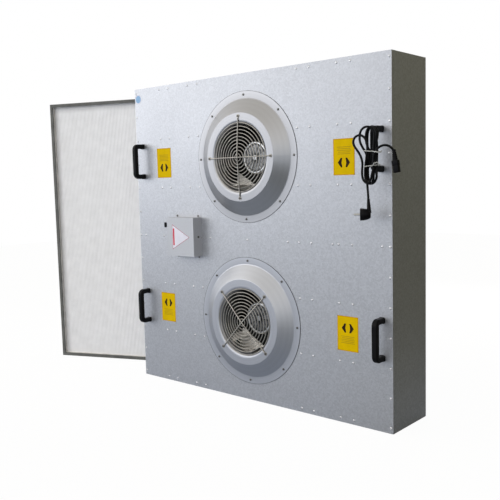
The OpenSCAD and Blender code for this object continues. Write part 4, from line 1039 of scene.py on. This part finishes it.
def round_sticker(inks):
    return join([coated(cylinder(name, 48, radius * MM, 0.2 * MM, at(-567, depth, 1135)),
                        inks[ink])
                 for name, radius, depth, ink in (("ring", 18.5, -0.1, "white"),
                                                  ("disc", 15.0, -0.14, "pale blue"))],
                "round_sticker")


def labels():
    inks = {name: moulded(f"Label {name}", color, 0.55, 1200.0, 0.00002, contrast=0.06,
                          Specular_IOR_Level=0.03)
            for name, color in {"yellow": tuple(settings().plate_color), **LABEL_INKS}.items()}
    return [*[yellow_plate(*plate, inks) for plate in PLATES], triangle_sticker(inks),
            round_sticker(inks)]


# ---------- operators ----------


class FFU_OT_finishes(bpy.types.Operator):
    """Gives every construction node its finish"""
    bl_idname = "ffu.finishes"
    bl_label = "Finishes"
    bl_options = {"REGISTER", "UNDO"}

    def execute(self, context):
        finish_all_nodes()
        soften_edges()
        return {"FINISHED"}


class FFU_OT_guards(bpy.types.Operator):
    """Makes the two wire guards"""
    bl_idname = "ffu.guards"
    bl_label = "Wire guards"
    bl_options = {"REGISTER", "UNDO"}

    def execute(self, context):
        for level, first_arm in (("upper", 0), ("lower", 45)):
            made = guard(f"guard_{level}_finished", fans[level], first_arm)
            dress(made, bpy.data.materials["Guard wire"], [f"guard_{level}"])
        return {"FINISHED"}


class FFU_OT_fasteners(bpy.types.Operator):
    """Makes the visible screws and the panel's rivets"""
    bl_idname = "ffu.fasteners"
    bl_label = "Screws and rivets"
    bl_options = {"REGISTER", "UNDO"}

    def execute(self, context):
        zinc = bpy.data.materials["Zinc plate"]
        head_d, shank_d = 8 * MM, 4 * MM
        for name, head_h in (("cone_screws", 2.4), ("guard_screws", 2.6), ("box_screws", 2.2)):
            made = screws_for(name, head_d, head_h * MM, shank_d)
            dress(made, zinc, [name])
        dress(blind_rivets(), bpy.data.materials["Rivet aluminium"],
              ["panel_rivets"])
        return {"FINISHED"}


class FFU_OT_lead(bpy.types.Operator):
    """Lays the mains lead as one cord from its connector to its plug"""
    bl_idname = "ffu.lead"
    bl_label = "Mains lead"
    bl_options = {"REGISTER", "UNDO"}

    def execute(self, context):
        black = bpy.data.materials["Black plastic"]
        ties = dress(lead_ties(), bpy.data.materials["Tie wire"], ["lead_ties"])
        connector = dress(lead_connector(), black, ["lead_connector"])
        plug, pins = lead_plug()
        dress(plug, black, ["lead_plug"])
        dress(pins, moulded("Plated pins", (0.62, 0.61, 0.58), 0.3, 2500.0, 0.00001, metallic=1.0))
        path, diameter = lead_path(), settings().cord_diameter
        lead = wire("mains_lead", path, diameter, resolution=5)
        dress(lead, bpy.data.materials["Cable jacket"], LEAD)
        return {"FINISHED"}


class FFU_OT_filter(bpy.types.Operator):
    """Makes the filter's pleated paper"""
    bl_idname = "ffu.filter"
    bl_label = "Filter pleats"
    bl_options = {"REGISTER", "UNDO"}

    def execute(self, context):
        dress(pleat_pack(), bpy.data.materials["Filter paper"], ["filter_media"])
        return {"FINISHED"}


class FFU_OT_labels(bpy.types.Operator):
    """Makes the plates and stickers"""
    bl_idname = "ffu.labels"
    bl_label = "Plates and stickers"
    bl_options = {"REGISTER", "UNDO"}

    def execute(self, context):
        for label in labels():
            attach(label, ROOT)
        return {"FINISHED"}


class FFU_OT_stage(bpy.types.Operator):
    """Sets the camera, the floor, the lights and the background"""
    bl_idname = "ffu.stage"
    bl_label = "Stage"
    bl_options = {"REGISTER", "UNDO"}

    def execute(self, context):
        place_camera()
        place_floor()
        place_lights()
        light_background()
        context.scene.view_settings.view_transform = "Standard"
        return {"FINISHED"}


CAMERA_PLACE = (1.6627, -1.9903, 0.8047)
CAMERA_AZIMUTH, CAMERA_ELEVATION, CAMERA_ROLL = (math.radians(a) for a in (41.245, 5.762, -1.466))
FOCAL_LENGTH, SENSOR_WIDTH = 50.63, 36


def place_camera():
    level = math.cos(CAMERA_ELEVATION)
    back = Vector((math.sin(CAMERA_AZIMUTH) * level, -math.cos(CAMERA_AZIMUTH) * level,
                   math.sin(CAMERA_ELEVATION)))
    right = (-back).cross(Vector((0, 0, 1))).normalized()
    axes = Matrix((right, back.cross(right), back)).transposed()
    turn = (axes @ Matrix.Rotation(CAMERA_ROLL, 3, "Z")).to_euler()
    deselect()
    bpy.ops.object.camera_add(location=CAMERA_PLACE, rotation=turn)
    camera = fresh("camera")
    camera.data.lens = FOCAL_LENGTH
    camera.data.sensor_width = SENSOR_WIDTH
    bpy.context.scene.camera = camera


def place_floor():
    """A pale floor that keeps the unit's shadow; bright metal sees it as grey."""
    size, drop = 14, 0.5 * MM
    white, glow_share = (0.92, 0.92, 0.92), 0.96
    deselect()
    bpy.ops.mesh.primitive_plane_add(size=size, location=(0, 0, -drop))
    floor = settle(fresh("floor"))
    material, tree, shader = new_material("Studio floor", white, 0.8)
    seen = add_node(tree, "ShaderNodeLightPath").outputs["Is Camera Ray"]
    x = separated(tree, object_coordinates(tree))[0]
    unlit = ramp(tree, between(tree, x, 0.2, 1.2), ((0.0, (0.27, 0.31, 0.385)),
                                                    (1.0, (0.055, 0.055, 0.03))))
    tree.links.new(mix_color(tree, seen, unlit, white), shader.inputs["Base Color"])
    glow = add_node(tree, "ShaderNodeEmission", {"Color": (1, 1, 1, 1), "Strength": 1.0})
    mixed = add_node(tree, "ShaderNodeMixShader",
                     {0: calculated(tree, "MULTIPLY", seen, glow_share),
                      1: shader.outputs["BSDF"], 2: glow.outputs["Emission"]})
    tree.links.new(mixed.outputs["Shader"], tree.nodes["Material Output"].inputs["Surface"])
    coated(floor, material)


def area_light(name, place, target, size, power):
    turn = (Vector(place) - Vector(target)).to_track_quat("Z", "Y").to_euler()
    deselect()
    bpy.ops.object.light_add(type="AREA", location=place, rotation=turn)
    light = fresh(name)
    light.data.shape = "RECTANGLE"
    light.data.size, light.data.size_y = size
    light.data.energy = power


def place_lights():
    s = settings()
    area_light("key_light", (-2.2, -2.0, 1.5), (0.0, 0, 0.7), (1.8, 1.8), s.key_power)
    area_light("back_light", (-0.5, 2.6, 1.5), (-0.2, 0, 0.6), (1.5, 1.5), s.back_power)


# The studio's brightness from straight down (0) to straight up (1), and from behind right (0) to
# in front on the left (1).
STUDIO_HEIGHTS = ((0.0, (0.17, 0.18, 0.20)), (0.32, (0.34, 0.40, 0.50)),
                  (0.45, (0.47, 0.545, 0.68)), (0.52, (0.64, 0.70, 0.80)),
                  (0.58, (1.0, 1.0, 1.0)), (0.78, (0.70, 0.68, 0.65)), (1.0, (0.48, 0.46, 0.42)))
STUDIO_SIDES = ((0.0, (0.13, 0.12, 0.075)), (0.30, (0.19, 0.178, 0.135)),
                (0.45, (0.47, 0.46, 0.45)), (0.70, (0.93, 0.93, 0.92)), (1.0, (1.0, 1.0, 1.0)))


def light_background():
    """A white background for the camera; a studio that is bright to the left, dark behind right."""
    world = bpy.context.scene.world or bpy.data.worlds.new("World")
    bpy.context.scene.world = world
    world.use_nodes = True
    tree = world.node_tree
    tree.nodes.clear()
    direction = add_node(tree, "ShaderNodeTexCoord").outputs["Generated"]
    height = separated(tree, direction)[2]
    side = vector_math(tree, "DOT_PRODUCT", direction, (-0.6, -0.8, 0))
    studio = mix_color(tree, 1.0, ramp(tree, between(tree, height, -1, 1), STUDIO_HEIGHTS),
                       ramp(tree, between(tree, side, -1, 1), STUDIO_SIDES), "MULTIPLY")
    path = add_node(tree, "ShaderNodeLightPath").outputs
    seen = calculated(tree, "MAXIMUM", path["Is Camera Ray"], path["Is Transmission Ray"])
    level, diffuse_gain = settings().fill_level, 1.75
    unseen = spread(tree, path["Is Diffuse Ray"], level, level * diffuse_gain)
    background = add_node(tree, "ShaderNodeBackground",
                          {"Color": mix_color(tree, seen, studio, (1, 1, 1)),
                           "Strength": spread(tree, seen, unseen, 1.0)})
    output = add_node(tree, "ShaderNodeOutputWorld")
    tree.links.new(background.outputs["Background"], output.inputs["Surface"])


class FFU_PT_panel(bpy.types.Panel):
    bl_idname = "FFU_PT_panel"
    bl_label = "Fan Filter Unit"
    bl_space_type = "VIEW_3D"
    bl_region_type = "UI"
    bl_category = "Fan Filter Unit"

    def draw(self, context):
        for name in UnitSettings.__annotations__:
            self.layout.prop(settings(), name)
        for operator in OPERATORS:
            self.layout.operator(operator.bl_idname)


OPERATORS = (FFU_OT_finishes, FFU_OT_guards, FFU_OT_fasteners, FFU_OT_lead, FFU_OT_filter,
             FFU_OT_labels, FFU_OT_stage)
CLASSES = (UnitSettings, *OPERATORS, FFU_PT_panel)


def register():
    for cls in CLASSES:
        bpy.utils.register_class(cls)
    bpy.types.Scene.unit_settings_ffu = bpy.props.PointerProperty(type=UnitSettings)


def unregister():
    del bpy.types.Scene.unit_settings_ffu
    for cls in reversed(CLASSES):
        bpy.utils.unregister_class(cls)


def main():
    register()
    bpy.ops.ffu.finishes()
    bpy.ops.ffu.guards()
    bpy.ops.ffu.fasteners()
    bpy.ops.ffu.lead()
    bpy.ops.ffu.filter()
    bpy.ops.ffu.labels()
    bpy.ops.ffu.stage()


if __name__ == "__main__":
    main()
